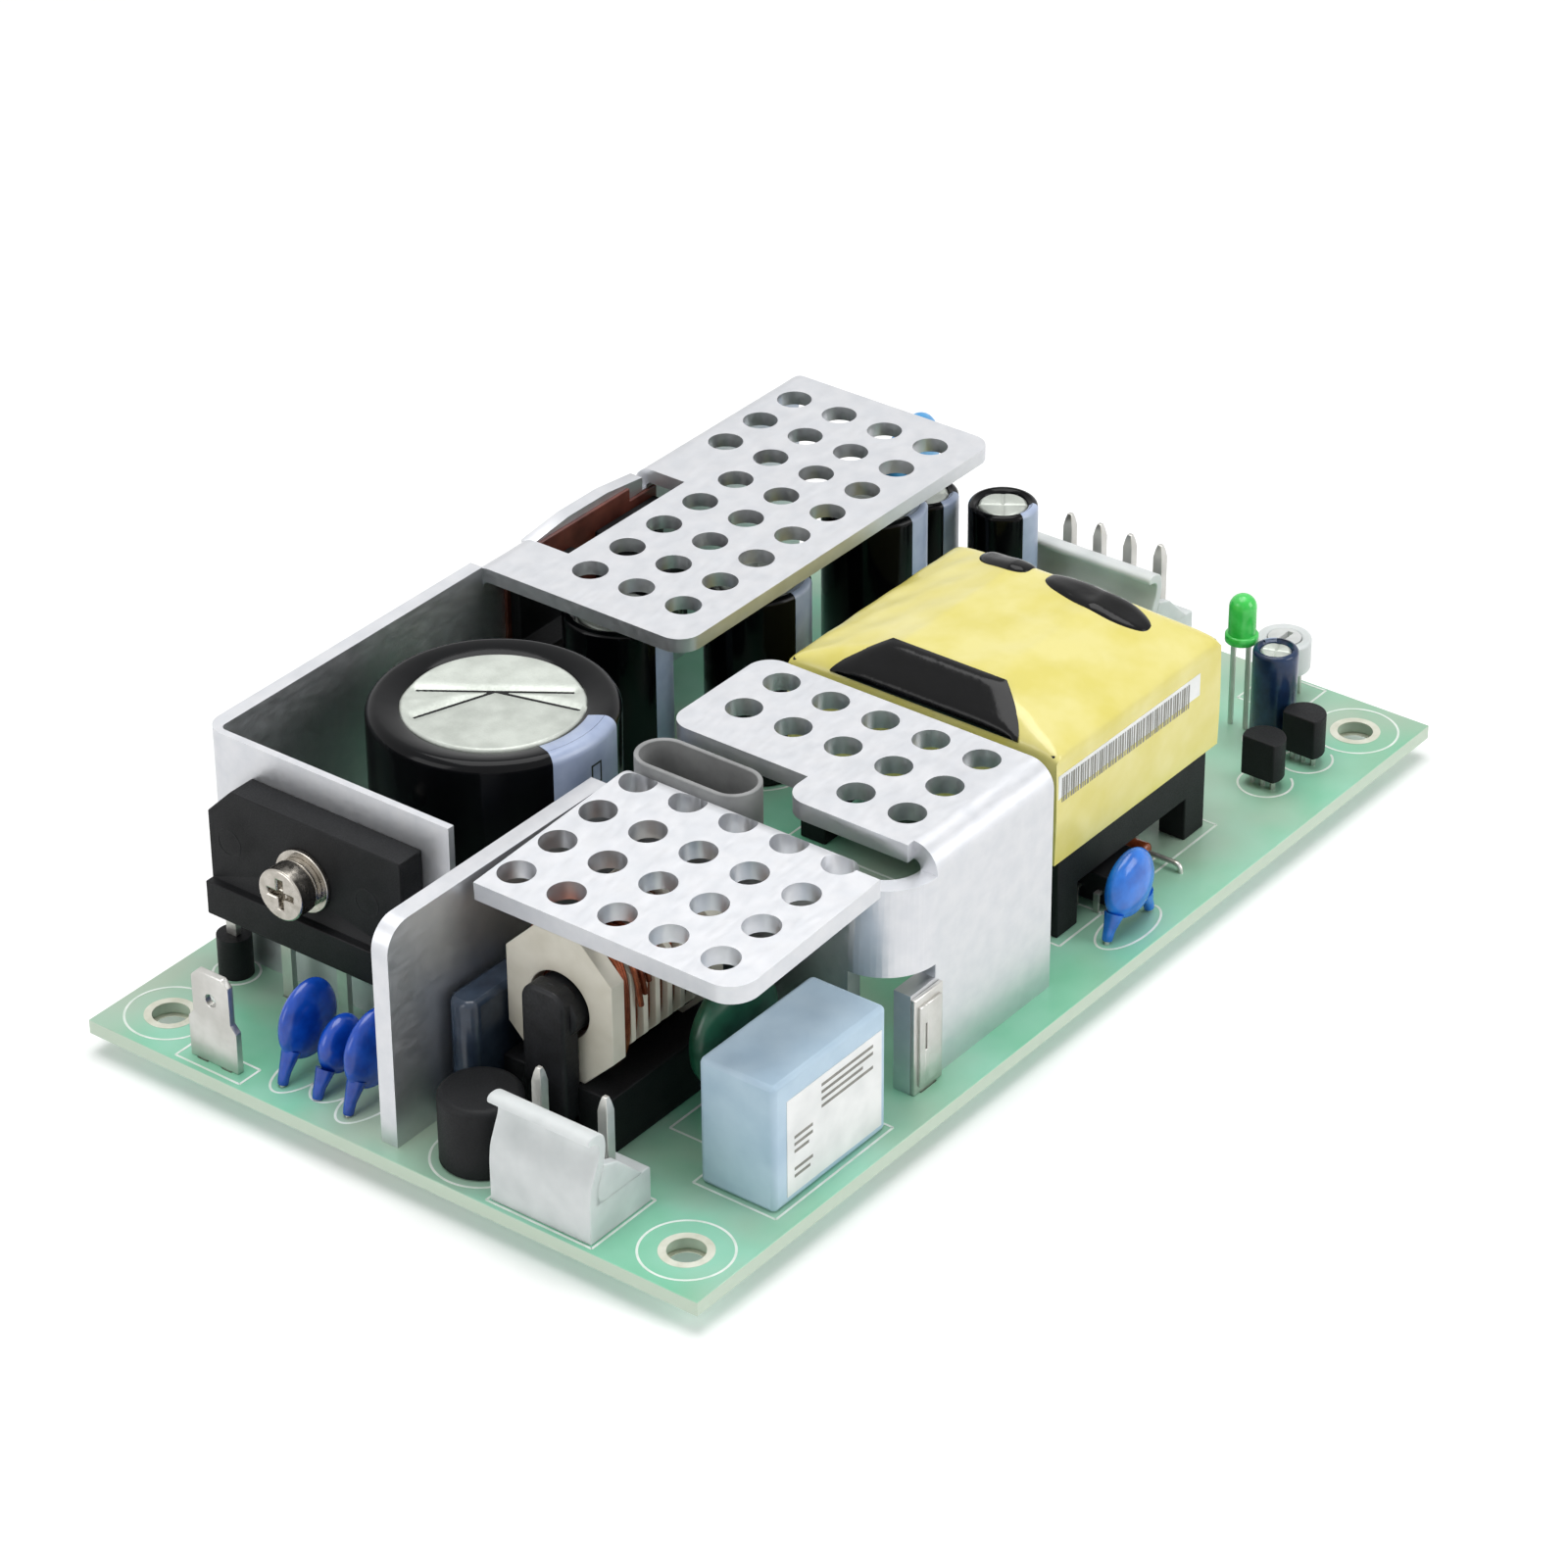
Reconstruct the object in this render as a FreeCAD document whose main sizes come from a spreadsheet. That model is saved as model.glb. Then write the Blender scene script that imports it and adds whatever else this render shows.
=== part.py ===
import FreeCAD, Part
import math
import operator
import os

import Sketcher

# Open frame power supply on a 127 by 76 mm board. +X runs from the mains input to the output,
# +Z up. The origin is the centre of the four mounting holes, on the underside of the board.
# All lengths are in millimetres, and angles in degrees.

DOC = FreeCAD.newDocument("open_frame_power_supply")
SHEET = DOC.addObject("Spreadsheet::Sheet", "Sizes")

# Driving dimensions, one row of the sheet each

SIZES = {
    # circuit board and its mounting holes
    "board_length": 127.0,
    "board_width": 76.2,
    "board_thickness": 1.6,
    "mount_inset": 5.715,
    "mount_hole_diameter": 4.8,
    "pin_clearance": 0.1,
    "seat_gap": 0.1,
    # both folded heatsinks
    "heatsink_top": 27.4,
    "hole_pitch": 6.1,
    "hole_diameter": 3.8,
    "bend_inside": 0.8,
    "bend_margin": 0.2,
    # rectifier heatsink along the far side
    "rear_sheet": 1.6,
    "rear_wall_y": 36.9,
    "rear_wall_start": 17.5,
    "rear_wall_end": 14.9,
    "bridge_flange_sheet": 0.8,
    "bridge_flange_width": 31.7,
    "rear_flange_start": 68.8,
    "rear_flange_depth": 28.1,
    "rear_flange_corner": 2.6,
    "rear_holes_long": 8,
    "rear_holes_across": 3,
    "rear_outer_holes": 3,
    "rear_hole_end_margin": 5.0,
    "rear_hole_edge_margin": 5.0,
    "notch_start": 61.3,
    "notch_length": 19.4,
    "notch_depth": 6.9,
    "notch_side": 0.6,
    "tab_end_drop": 0.9,
    "tab_middle_drop": 0.2,
    # switch heatsink, one sheet folded to a Z in plan
    "front_sheet": 2.0,
    "input_wall_start": 1.9,
    "input_wall_y": -0.5,
    "input_wall_top": 26.2,
    "cross_wall_x": 38.1,
    "side_wall_y": -34.2,
    "side_wall_end": 61.5,
    "plan_bend_inside": 4.0,
    "input_flange_end": 13.3,
    "input_flange_edge": -32.8,
    "input_flange_droop": 1.3,
    "input_flange_gap": 0.9,
    "input_flange_corner": 3.0,
    "input_grid_margin": 3.6,
    "input_grid_edge": 4.7,
    "input_holes_long": 4,
    "input_holes_across": 5,
    "side_flange_start": 41.3,
    "side_flange_edge": 1.1,
    "side_notch_x": 45.5,
    "side_notch_y": -16.4,
    "side_grid_margin": 3.4,
    "side_grid_edge": 4.7,
    "side_holes_long": 2,
    "side_holes_across": 5,
    "side_extra_holes": 2,
    "corner_relief_top": 14.6,
    "tongue_top": 13.0,
    "tongue_start": 38.1,
    # tinned clips that solder the heatsinks to the board
    "clip_plate": 0.5,
    "clip_width": 4.6,
    "clip_height": 11.0,
    "clip_pin_width": 2.4,
    "input_clip_x": 6.5,
    "rear_clip_x": 25.5,
    "far_clip_x": 21.5,
    # bridge rectifier on the end flange of the rear heatsink
    "bridge_width": 25.0,
    "bridge_height": 14.7,
    "bridge_thickness": 3.3,
    "bridge_lip": 1.0,
    "bridge_lip_height": 3.8,
    "bridge_chamfer": 3.2,
    "bridge_y": 21.2,
    "bridge_bottom": 9.0,
    "bridge_lead_pitch": 7.3,
    "bridge_lead_width": 1.3,
    "bridge_lead_thickness": 0.7,
    "bridge_lead_back": 2.4,
    "bridge_lead_margin": 1.5,
    "bead_diameter": 3.6,
    "bead_height": 4.6,
    "screw_height": 8.2,
    "screw_end": 2.6,
    "screw_diameter": 3.0,
    "screw_head_diameter": 5.6,
    "screw_head_height": 2.3,
    "screw_clearance": 0.2,
    "spring_washer_diameter": 5.4,
    "spring_washer_thickness": 0.8,
    "flat_washer_diameter": 6.8,
    "flat_washer_thickness": 0.5,
    # bulk electrolytic capacitor
    "bulk_x": 39.3,
    "bulk_y": 18.0,
    "bulk_diameter": 25.6,
    "bulk_height": 25.2,
    "bulk_lap": 3.6,
    "sleeve_wall": 0.3,
    "score_width": 0.6,
    "score_depth": 0.25,
    # output electrolytic capacitors
    "output_diameter": 11.4,
    "output_height": 22.4,
    "output_lap": 1.6,
    "output_first_x": 62.5,
    "output_first_y": 22.7,
    "output_y": 15.2,
    "output_second_x": 48.6,
    "output_third_x": 28.1,
    "slim_diameter": 7.6,
    "slim_height": 18.4,
    "slim_lap": 1.0,
    "near_slim_x": 14.1,
    "near_slim_y": 8.2,
    "far_slim_x": 17.1,
    "far_slim_y": 16.6,
    "small_diameter": 4.9,
    "small_lap": 0.7,
    "small_x": 12.6,
    "small_y": -26.2,
    "small_height": 11.4,
    # switching transistor in its silicone tube, and the output rectifiers
    "tube_length": 14.4,
    "tube_width": 5.8,
    "tube_wall": 0.5,
    "tube_y": -6.4,
    "tube_bottom": 3.4,
    "tube_overhang": 2.0,
    "tube_top": 27.0,
    "package_width": 10.0,
    "package_thickness": 4.4,
    "package_body": 9.0,
    "package_tab": 6.4,
    "package_tab_thickness": 1.3,
    "package_lead_pitch": 2.54,
    "package_lead_width": 0.8,
    "rectifier_pad": 0.4,
    "rectifier_x": 53.1,
    "rectifier_pad_width": 25.0,
    "rectifier_neck_width": 16.0,
    "rectifier_neck_top": 26.4,
    "rectifier_bottom": 8.5,
    "rectifier_gap": 4.0,
    "clamp_length": 20.0,
    "clamp_height": 5.0,
    "clamp_thickness": 1.0,
    # transformer
    "transformer_x": 44.7,
    "transformer_y": -13.7,
    "core_length": 29.0,
    "core_width": 32.4,
    "core_bottom": 11.5,
    "core_height": 12.1,
    "core_leg": 4.6,
    "core_centre_leg": 7.6,
    "winding_length": 29.4,
    "winding_width": 24.0,
    "winding_flat": 12.0,
    "winding_crown": 26.8,
    "winding_end_slope": 4.6,
    "winding_slack": 0.3,
    "tape_thickness": 0.4,
    "tape_length": 28.6,
    "rail_bottom": 6.6,
    "rail_depth": 5.2,
    "rail_length": 26.6,
    "web_thickness": 1.6,
    "leg_width": 3.6,
    "leg_depth": 3.2,
    "transformer_pin_pitch": 4.4,
    "transformer_pin": 0.8,
    "transformer_pin_inset": 1.0,
    # common mode choke
    "choke_x": 22.3,
    "choke_y": -11.0,
    "choke_headroom": 0.4,
    "choke_length": 16.8,
    "choke_flange_width": 12.8,
    "choke_flange_height": 15.8,
    "choke_base_length": 18.2,
    "choke_base_width": 13.2,
    "choke_rib_inset": 0.5,
    "choke_flange_chamfer": 3.6,
    "choke_flange_thickness": 1.9,
    "choke_rib_thickness": 0.7,
    "choke_barrel": 8.4,
    "choke_bore": 7.2,
    "choke_limb": 6.4,
    "choke_yoke_width": 4.6,
    "choke_yoke_thickness": 2.6,
    "choke_floor": 1.0,
    "choke_winding_inset": 1.3,
    # mains filter parts
    "fuse_x": 5.8,
    "fuse_y": -7.8,
    "fuse_diameter": 8.4,
    "fuse_height": 7.8,
    "film_x": 14.3,
    "film_y": -2.65,
    "film_length": 10.8,
    "film_thickness": 3.3,
    "film_height": 13.2,
    "suppressor_x": 23.6,
    "suppressor_y": -31.2,
    "suppressor_length": 17.4,
    "suppressor_width": 8.8,
    "suppressor_height": 14.2,
    "varistor_x": 26.9,
    "varistor_y": -21.6,
    "varistor_diameter": 12.6,
    "varistor_thickness": 3.8,
    "varistor_stand": 2.6,
    # blue disc capacitors
    "disc_pitch": 10.0,
    "disc_thickness": 3.2,
    "input_disc_x": 7.1,
    "first_disc_y": 15.2,
    "disc_spacing": 4.2,
    "large_disc": 9.2,
    "medium_disc": 6.8,
    "disc_stand": 1.0,
    "side_disc_x": 51.9,
    "side_disc_y": -34.4,
    "side_disc": 8.4,
    "far_disc_x": 6.9,
    "far_disc_y": 25.6,
    "far_disc": 9.8,
    "far_disc_stand": 10.6,
    # wafer headers, one body section for the input and the output
    "header_depth": 8.9,
    "header_floor": 4.0,
    "header_height": 11.9,
    "header_wall": 1.2,
    "header_lean": 1.7,
    "header_barb": 0.6,
    "header_rib": 1.0,
    "header_rib_height": 4.0,
    "header_margin": 2.1,
    "header_pitch": 3.96,
    "header_pin": 1.14,
    "header_pin_back": 5.2,
    "header_pin_height": 13.1,
    "input_header_x": 0.9,
    "input_header_y": -18.9,
    "output_header_x": 9.1,
    "output_header_y": 0.3,
    # ground blade
    "blade_x": 2.2,
    "blade_y": 22.9,
    "blade_width": 4.8,
    "blade_foot": 6.2,
    "blade_foot_height": 4.6,
    "blade_height": 10.4,
    "blade_thickness": 0.8,
    "blade_hole": 1.4,
    "blade_hole_height": 7.4,
    # indicator, trimmer and small parts at the output end
    "indicator_x": 12.3,
    "indicator_y": -21.7,
    "indicator_diameter": 3.0,
    "indicator_rim": 3.8,
    "indicator_rim_height": 1.0,
    "indicator_seat": 10.6,
    "indicator_length": 5.6,
    "indicator_pitch": 1.9,
    "trimmer_x": 3.9,
    "trimmer_y": -21.9,
    "trimmer_diameter": 5.9,
    "trimmer_height": 3.6,
    "trimmer_stand": 3.6,
    "rotor_diameter": 3.6,
    "rotor_clearance": 0.08,
    "rotor_depth": 1.4,
    "rotor_slot": 0.7,
    "transistor_diameter": 4.6,
    "transistor_flat": 1.1,
    "transistor_height": 4.6,
    "transistor_stand": 1.4,
    "first_transistor_x": 20.9,
    "first_transistor_y": -30.4,
    "second_transistor_x": 14.3,
    "second_transistor_y": -31.2,
    "isolator_x": 47.7,
    "isolator_y": -29.0,
    "isolator_spacing": 6.8,
    "isolator_width": 6.4,
    "isolator_length": 4.6,
    "isolator_height": 3.4,
    "isolator_stand": 0.6,
    "diode_x": 40.3,
    "diode_y": -27.0,
    "diode_diameter": 1.9,
    "diode_length": 4.0,
    "diode_span": 12.6,
    "lead": 0.6,
}


class Size:
    """A number from the sheet, or worked out from such numbers, with the formula that gives it."""

    def __init__(self, value, formula):
        self.value = value
        self.formula = formula

    def combine(self, sign, other, first):
        signs = {"+": operator.add, "-": operator.sub, "*": operator.mul, "/": operator.truediv}
        other = as_size(other)
        left, right = (self, other) if first else (other, self)
        return Size(signs[sign](left.value, right.value), f"({left.formula} {sign} {right.formula})")

    def __add__(self, other):
        return self.combine("+", other, True)

    def __radd__(self, other):
        return self.combine("+", other, False)

    def __sub__(self, other):
        return self.combine("-", other, True)

    def __rsub__(self, other):
        return self.combine("-", other, False)

    def __mul__(self, other):
        return self.combine("*", other, True)

    def __rmul__(self, other):
        return self.combine("*", other, False)

    def __truediv__(self, other):
        return self.combine("/", other, True)

    def __neg__(self):
        return 0 - self


def as_size(number):
    return number if isinstance(number, Size) else Size(float(number), f"{float(number):.6f}")


class Table:
    """The sheet's named sizes, read as table.board_length."""

    def __init__(self, sizes):
        for row, (alias, number) in enumerate(sizes.items(), start=1):
            SHEET.set(f"A{row}", alias)
            SHEET.set(f"B{row}", str(number))
            SHEET.setAlias(f"B{row}", alias)
            setattr(self, alias, Size(float(number), f"Sizes.{alias}"))


# Places along X are distances in from one end of the board, so that pieces keep to their own end

FROM_INPUT_END = (
    "rear_wall_start", "input_wall_start", "cross_wall_x", "side_wall_end", "input_flange_end",
    "side_flange_start", "side_notch_x", "tongue_start", "input_clip_x", "rear_clip_x",
    "bulk_x", "choke_x", "fuse_x", "film_x", "suppressor_x",
    "varistor_x", "input_disc_x", "input_header_x", "blade_x",
)
FROM_OUTPUT_END = (
    "rear_wall_end", "rear_flange_start", "notch_start", "far_clip_x", "rectifier_x",
    "output_first_x", "output_second_x", "output_third_x", "near_slim_x", "far_slim_x",
    "small_x", "transformer_x", "side_disc_x", "far_disc_x", "output_header_x",
    "indicator_x", "trimmer_x", "first_transistor_x", "second_transistor_x", "isolator_x",
    "diode_x",
)


class Places:
    """Places along X, read as at.bulk_x."""

    def __init__(self, sizes):
        for alias in FROM_INPUT_END:
            setattr(self, alias, getattr(sizes, alias) - sizes.board_length / 2)
        for alias in FROM_OUTPUT_END:
            setattr(self, alias, sizes.board_length / 2 - getattr(sizes, alias))


table = Table(SIZES)
at = Places(table)
DOC.recompute()
board_top = table.board_thickness


# Small helpers that bind an object's sizes to the sheet

def bind(feature, prop, size):
    feature.setExpression(prop, as_size(size).formula)


def place(feature, corner):
    for axis, size in zip("xyz", corner):
        bind(feature, f"Placement.Base.{axis}", size)
    return feature


def turn(feature, axis, angle):
    feature.Placement = FreeCAD.Placement(FreeCAD.Vector(0, 0, 0), FreeCAD.Rotation(FreeCAD.Vector(*axis), angle))
    return feature


def box(name, extent, corner):
    feature = DOC.addObject("Part::Box", name)
    for prop, size in zip(("Length", "Width", "Height"), extent):
        bind(feature, prop, size)
    return place(feature, corner)


def cylinder(name, diameter, height, base, axis="z"):
    feature = DOC.addObject("Part::Cylinder", name)
    bind(feature, "Radius", diameter / 2)
    bind(feature, "Height", height)
    if axis == "x":
        turn(feature, (0, 1, 0), 90)
    if axis == "y":
        turn(feature, (1, 0, 0), -90)
    return place(feature, base)


def lead(name, top, base):
    """A round lead as a hexagonal bar, standing on its base point."""
    feature = DOC.addObject("Part::Prism", name)
    feature.Polygon = 6
    bind(feature, "Circumradius", table.lead / 2)
    bind(feature, "Height", top - base[2])
    return place(feature, base)


def fuse(name, members):
    feature = DOC.addObject("Part::MultiFuse", name)
    feature.Shapes = members
    return feature


def cut(name, base, tool):
    feature = DOC.addObject("Part::Cut", name)
    feature.Base = base
    feature.Tool = tool
    return feature


def group(name, members):
    feature = DOC.addObject("Part::Compound", name)
    feature.Links = members
    return feature


# PartDesign helpers. Outlines are lists of points, and each point is a pair of sizes.

PLANES = {"XY": "XY_Plane", "XZ": "XZ_Plane", "YZ": "YZ_Plane"}


def new_body(name, position=(0, 0, 0)):
    return place(DOC.addObject("PartDesign::Body", name), position)


def sketch(body, plane, start, outlines=(), circles=()):
    """A closed sketch on one of the body's own planes, moved along the plane's axis to start."""
    profile = body.newObject("Sketcher::SketchObject", f"{body.Name}_sketch")
    origin_plane = [item for item in body.Origin.OriginFeatures if item.Role == PLANES[plane]]
    profile.AttachmentSupport = [(origin_plane[0], "")]
    profile.MapMode = "FlatFace"
    bind(profile, "AttachmentOffset.Base.z", -as_size(start) if plane == "XZ" else start)
    for outline in outlines:
        add_outline(profile, outline)
    for centre, diameter in circles:
        add_circle(profile, centre, diameter)
    return profile


def fix(profile, kind, geometry, point, size):
    """Holds one coordinate of a sketch point at a size from the sheet."""
    size = as_size(size)
    index = profile.addConstraint(Sketcher.Constraint(kind, -1, 1, geometry, point, size.value))
    bind(profile, f"Constraints[{index}]", size)


def add_outline(profile, outline):
    corners = [FreeCAD.Vector(as_size(x).value, as_size(y).value, 0) for x, y in outline]
    first = profile.GeometryCount
    for start, end in zip(corners, corners[1:] + corners[:1]):
        profile.addGeometry(Part.LineSegment(start, end))
    for index, (x, y) in enumerate(outline):
        follower = first + (index - 1) % len(outline)
        profile.addConstraint(Sketcher.Constraint("Coincident", follower, 2, first + index, 1))
        fix(profile, "DistanceX", first + index, 1, x)
        fix(profile, "DistanceY", first + index, 1, y)


def add_circle(profile, centre, diameter):
    x, y = (as_size(number) for number in centre)
    radius = as_size(diameter) / 2
    middle = FreeCAD.Vector(x.value, y.value, 0)
    circle = profile.addGeometry(Part.Circle(middle, FreeCAD.Vector(0, 0, 1), radius.value))
    index = profile.addConstraint(Sketcher.Constraint("Radius", circle, radius.value))
    bind(profile, f"Constraints[{index}]", radius)
    fix(profile, "DistanceX", circle, 3, x)
    fix(profile, "DistanceY", circle, 3, y)


def rectangle(x0, x1, y0, y1):
    return [(x0, y0), (x1, y0), (x1, y1), (x0, y1)]


def pad(body, plane, start, length, outlines=(), circles=()):
    """Adds material from start along the plane's positive axis."""
    feature = body.newObject("PartDesign::Pad", f"{body.Name}_pad")
    feature.Profile = sketch(body, plane, start, outlines, circles)
    feature.Reversed = plane == "XZ"
    bind(feature, "Length", length)
    return feature


def pocket(body, plane, start, depth, outlines=(), circles=()):
    """Cuts from start along the plane's positive axis."""
    feature = body.newObject("PartDesign::Pocket", f"{body.Name}_pocket")
    feature.Profile = sketch(body, plane, start, outlines, circles)
    feature.Reversed = plane != "XZ"
    bind(feature, "Length", depth)
    return feature


def revolve(body, outline):
    """Turns an outline of radius and height about the body's Z axis."""
    feature = body.newObject("PartDesign::Revolution", f"{body.Name}_revolution")
    feature.Profile = sketch(body, "XZ", 0, [outline])
    feature.ReferenceAxis = (feature.Profile[0], ["V_Axis"])
    feature.Angle = 360
    return feature


def round_edges(body, radius, picks, kind="Fillet"):
    """Rounds or chamfers the edges for which one of the picks holds."""
    DOC.recompute()
    base = body.Tip
    names = [f"Edge{n}" for n, edge in enumerate(base.Shape.Edges, start=1) if picks(edge)]
    if not names:
        raise ValueError(f"no edge to round on {body.Name}")
    feature = body.newObject(f"PartDesign::{kind}", f"{body.Name}_{kind.lower()}")
    feature.Base = (base, names)
    bind(feature, "Radius" if kind == "Fillet" else "Size", radius)
    return feature


def edge_along(axis, *positions):
    """Picks straight edges along an axis whose other two coordinates are at one of the positions."""
    others = [n for n in range(3) if n != "xyz".index(axis)]

    def holds(edge):
        if edge.Curve.TypeId != "Part::GeomLine" or len(edge.Vertexes) != 2:
            return False
        ends = [vertex.Point for vertex in edge.Vertexes]
        if any(abs(ends[0][n] - ends[1][n]) > 1e-6 for n in others):
            return False
        return any(all(abs(ends[0][n] - as_size(size).value) < 1e-4 for n, size in zip(others, position))
                   for position in positions)

    return holds


def edge_between(start, end):
    """Picks the straight edge that joins two points."""
    wanted = [FreeCAD.Vector(*(as_size(size).value for size in point)) for point in (start, end)]

    def holds(edge):
        ends = [vertex.Point for vertex in edge.Vertexes]
        return len(ends) == 2 and all(
            any(point.distanceToPoint(other) < 1e-4 for other in ends) for point in wanted)

    return holds


def hole_grid(body, start, depth, corner, counts, steps):
    """A pocket of one round hole, repeated along X and Y."""
    cut_hole = pocket(body, "XY", start, depth, circles=[(corner, table.hole_diameter)])
    pattern = body.newObject("PartDesign::MultiTransform", f"{body.Name}_grid")
    pattern.Originals = [cut_hole]
    rows = []
    for axis, count, step in zip("XY", counts, steps):
        row = body.newObject("PartDesign::LinearPattern", f"{body.Name}_row")
        row.Direction = (cut_hole.Profile[0], ["H_Axis" if axis == "X" else "V_Axis"])
        bind(row, "Occurrences", count)
        bind(row, "Length", table.hole_pitch * (count - 1))
        row.Reversed = step < 0
        rows.append(row)
    pattern.Transformations = rows
    body.Tip = pattern
    return pattern


# Circuit board: mounting holes in the corners, and a slot for every flat or square pin

board_body = new_body("circuit_board")
half_length = table.board_length / 2
half_width = table.board_width / 2
pad(board_body, "XY", 0, table.board_thickness,
    [rectangle(-half_length, half_length, -half_width, half_width)])
mount_x = half_length - table.mount_inset
mount_y = half_width - table.mount_inset
pocket(board_body, "XY", 0, table.board_thickness,
       circles=[((x, y), table.mount_hole_diameter)
                for x in (-mount_x, mount_x) for y in (-mount_y, mount_y)])
pin_slots = []


def board_pin(name, x, y, size_x, size_y, top):
    """A square or flat pin, flush with the underside of the board, and its slot."""
    gap = table.pin_clearance
    pin_slots.append(rectangle(x - size_x / 2 - gap, x + size_x / 2 + gap,
                               y - size_y / 2 - gap, y + size_y / 2 + gap))
    return box(name, (size_x, size_y, top), (x - size_x / 2, y - size_y / 2, 0))


# Rectifier heatsink: one sheet with a wall, a thin end flange and a perforated top flange

top = table.heatsink_top
bend_outside = table.bend_inside + table.rear_sheet
wall_inner = table.rear_wall_y - table.rear_sheet
wall_low = top - bend_outside
flange_edge = table.rear_wall_y - table.rear_flange_depth
rear = new_body("rectifier_heatsink")
pad(rear, "YZ", at.rear_flange_start, at.rear_wall_end - at.rear_flange_start, [[
    (table.rear_wall_y, board_top), (table.rear_wall_y, top), (flange_edge, top),
    (flange_edge, top - table.rear_sheet), (wall_inner, top - table.rear_sheet), (wall_inner, board_top),
]])
round_edges(rear, table.bend_inside, edge_along("x", (wall_inner, top - table.rear_sheet)))
round_edges(rear, bend_outside, edge_along("x", (table.rear_wall_y, top)))
round_edges(rear, table.rear_flange_corner, edge_along(
    "z", (at.rear_flange_start, flange_edge), (at.rear_wall_end, flange_edge)))
end_flange_inner = at.rear_wall_start + table.bridge_flange_sheet
end_flange_edge = table.rear_wall_y - table.bridge_flange_width
pad(rear, "XY", board_top, top - board_top, [[
    (at.rear_wall_start, table.rear_wall_y), (at.rear_wall_start, end_flange_edge),
    (end_flange_inner, end_flange_edge), (end_flange_inner, wall_inner),
    (at.rear_flange_start, wall_inner), (at.rear_flange_start, table.rear_wall_y),
]])
round_edges(rear, bend_outside, edge_along("z", (at.rear_wall_start, table.rear_wall_y)))
round_edges(rear, table.bend_inside, edge_along("z", (end_flange_inner, wall_inner)))
notch_end = at.notch_start + table.notch_length
pocket(rear, "XY", wall_low, bend_outside, [rectangle(
    at.notch_start, notch_end, table.rear_wall_y - table.notch_depth, table.rear_wall_y)])
tab_middle = at.notch_start + table.notch_length / 2
pad(rear, "XZ", wall_inner, table.rear_sheet, [[
    (at.notch_start + table.notch_side, wall_low),
    (notch_end - table.notch_side, wall_low),
    (notch_end - table.notch_side, top - table.tab_end_drop),
    (tab_middle + table.notch_length / 6, top - table.tab_middle_drop),
    (tab_middle - table.notch_length / 6, top - table.tab_middle_drop),
    (at.notch_start + table.notch_side, top - table.tab_end_drop),
]])
first_hole_x = at.rear_wall_end - table.rear_hole_end_margin
first_hole_y = flange_edge + table.rear_hole_edge_margin
hole_grid(rear, top - bend_outside, bend_outside, (first_hole_x, first_hole_y),
          (table.rear_holes_long, table.rear_holes_across), (-1, 1))
hole_grid(rear, top - bend_outside, bend_outside,
          (first_hole_x, first_hole_y + table.hole_pitch * table.rear_holes_across),
          (table.rear_outer_holes, as_size(1)), (-1, 1))
screw_z = table.bridge_bottom + table.screw_height
pocket(rear, "YZ", at.rear_wall_start, table.bridge_flange_sheet,
       circles=[((table.bridge_y, screw_z), table.screw_diameter + table.screw_clearance)])

# Switch heatsink: three walls folded to a Z in plan, and a perforated flange on two of them

front_outside = table.bend_inside + table.front_sheet
plan_outside = table.plan_bend_inside + table.front_sheet
front_low = top - front_outside - table.bend_margin
cross_outer = at.cross_wall_x - table.front_sheet
side_inner = table.side_wall_y + table.front_sheet
input_outer = table.input_wall_y + table.front_sheet
plan_bend_x = cross_outer + plan_outside
plan_bend_y = table.side_wall_y + plan_outside
flange_near = table.input_flange_edge
flange_far = table.input_wall_y - table.input_flange_gap
droop = table.input_flange_droop
droop_top = top - droop
front = new_body("switch_heatsink")

# The flange over the input side droops a little from its bend to its free edge
bend_start = cross_outer - table.bend_inside
slope = droop / (at.cross_wall_x - at.input_flange_end)
lean = slope * table.front_sheet
bend_under = top - table.front_sheet - lean
end_under = (at.input_flange_end + lean, droop_top - table.front_sheet + slope * lean)
pad(front, "XZ", flange_near, flange_far - flange_near, [[
    (at.cross_wall_x, front_low), (at.cross_wall_x, top), (at.input_flange_end, droop_top),
    end_under, (cross_outer, bend_under), (cross_outer, front_low),
]])
round_edges(front, table.input_flange_corner, edge_between(
    (at.input_flange_end, flange_near, droop_top), (end_under[0], flange_near, end_under[1])))
round_edges(front, table.bend_inside, edge_along("y", (cross_outer, bend_under)))
round_edges(front, front_outside, edge_along("y", (at.cross_wall_x, top)))
pocket(front, "XY", front_low, top - front_low, [rectangle(
    bend_start - table.bend_margin, at.cross_wall_x, flange_near, plan_bend_y)])

# The three walls, with the large bend cut away near the board beside a straight tongue
pad(front, "XY", board_top, front_low - board_top, [[
    (at.input_wall_start, table.input_wall_y), (cross_outer, table.input_wall_y),
    (cross_outer, table.side_wall_y), (at.side_wall_end, table.side_wall_y),
    (at.side_wall_end, side_inner), (at.cross_wall_x, side_inner),
    (at.cross_wall_x, input_outer), (at.input_wall_start, input_outer),
]])
round_edges(front, front_outside, edge_along("z", (at.cross_wall_x, input_outer)))
round_edges(front, table.bend_inside, edge_along("z", (cross_outer, table.input_wall_y)))
round_edges(front, plan_outside, edge_along("z", (cross_outer, table.side_wall_y)))
round_edges(front, table.plan_bend_inside, edge_along("z", (at.cross_wall_x, side_inner)))
pocket(front, "XY", board_top, table.corner_relief_top - board_top, [rectangle(
    cross_outer, plan_bend_x, table.side_wall_y, plan_bend_y)])
pad(front, "XZ", table.side_wall_y, table.front_sheet, [rectangle(
    at.tongue_start, plan_bend_x + table.front_sheet, board_top, table.tongue_top)])
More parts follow.
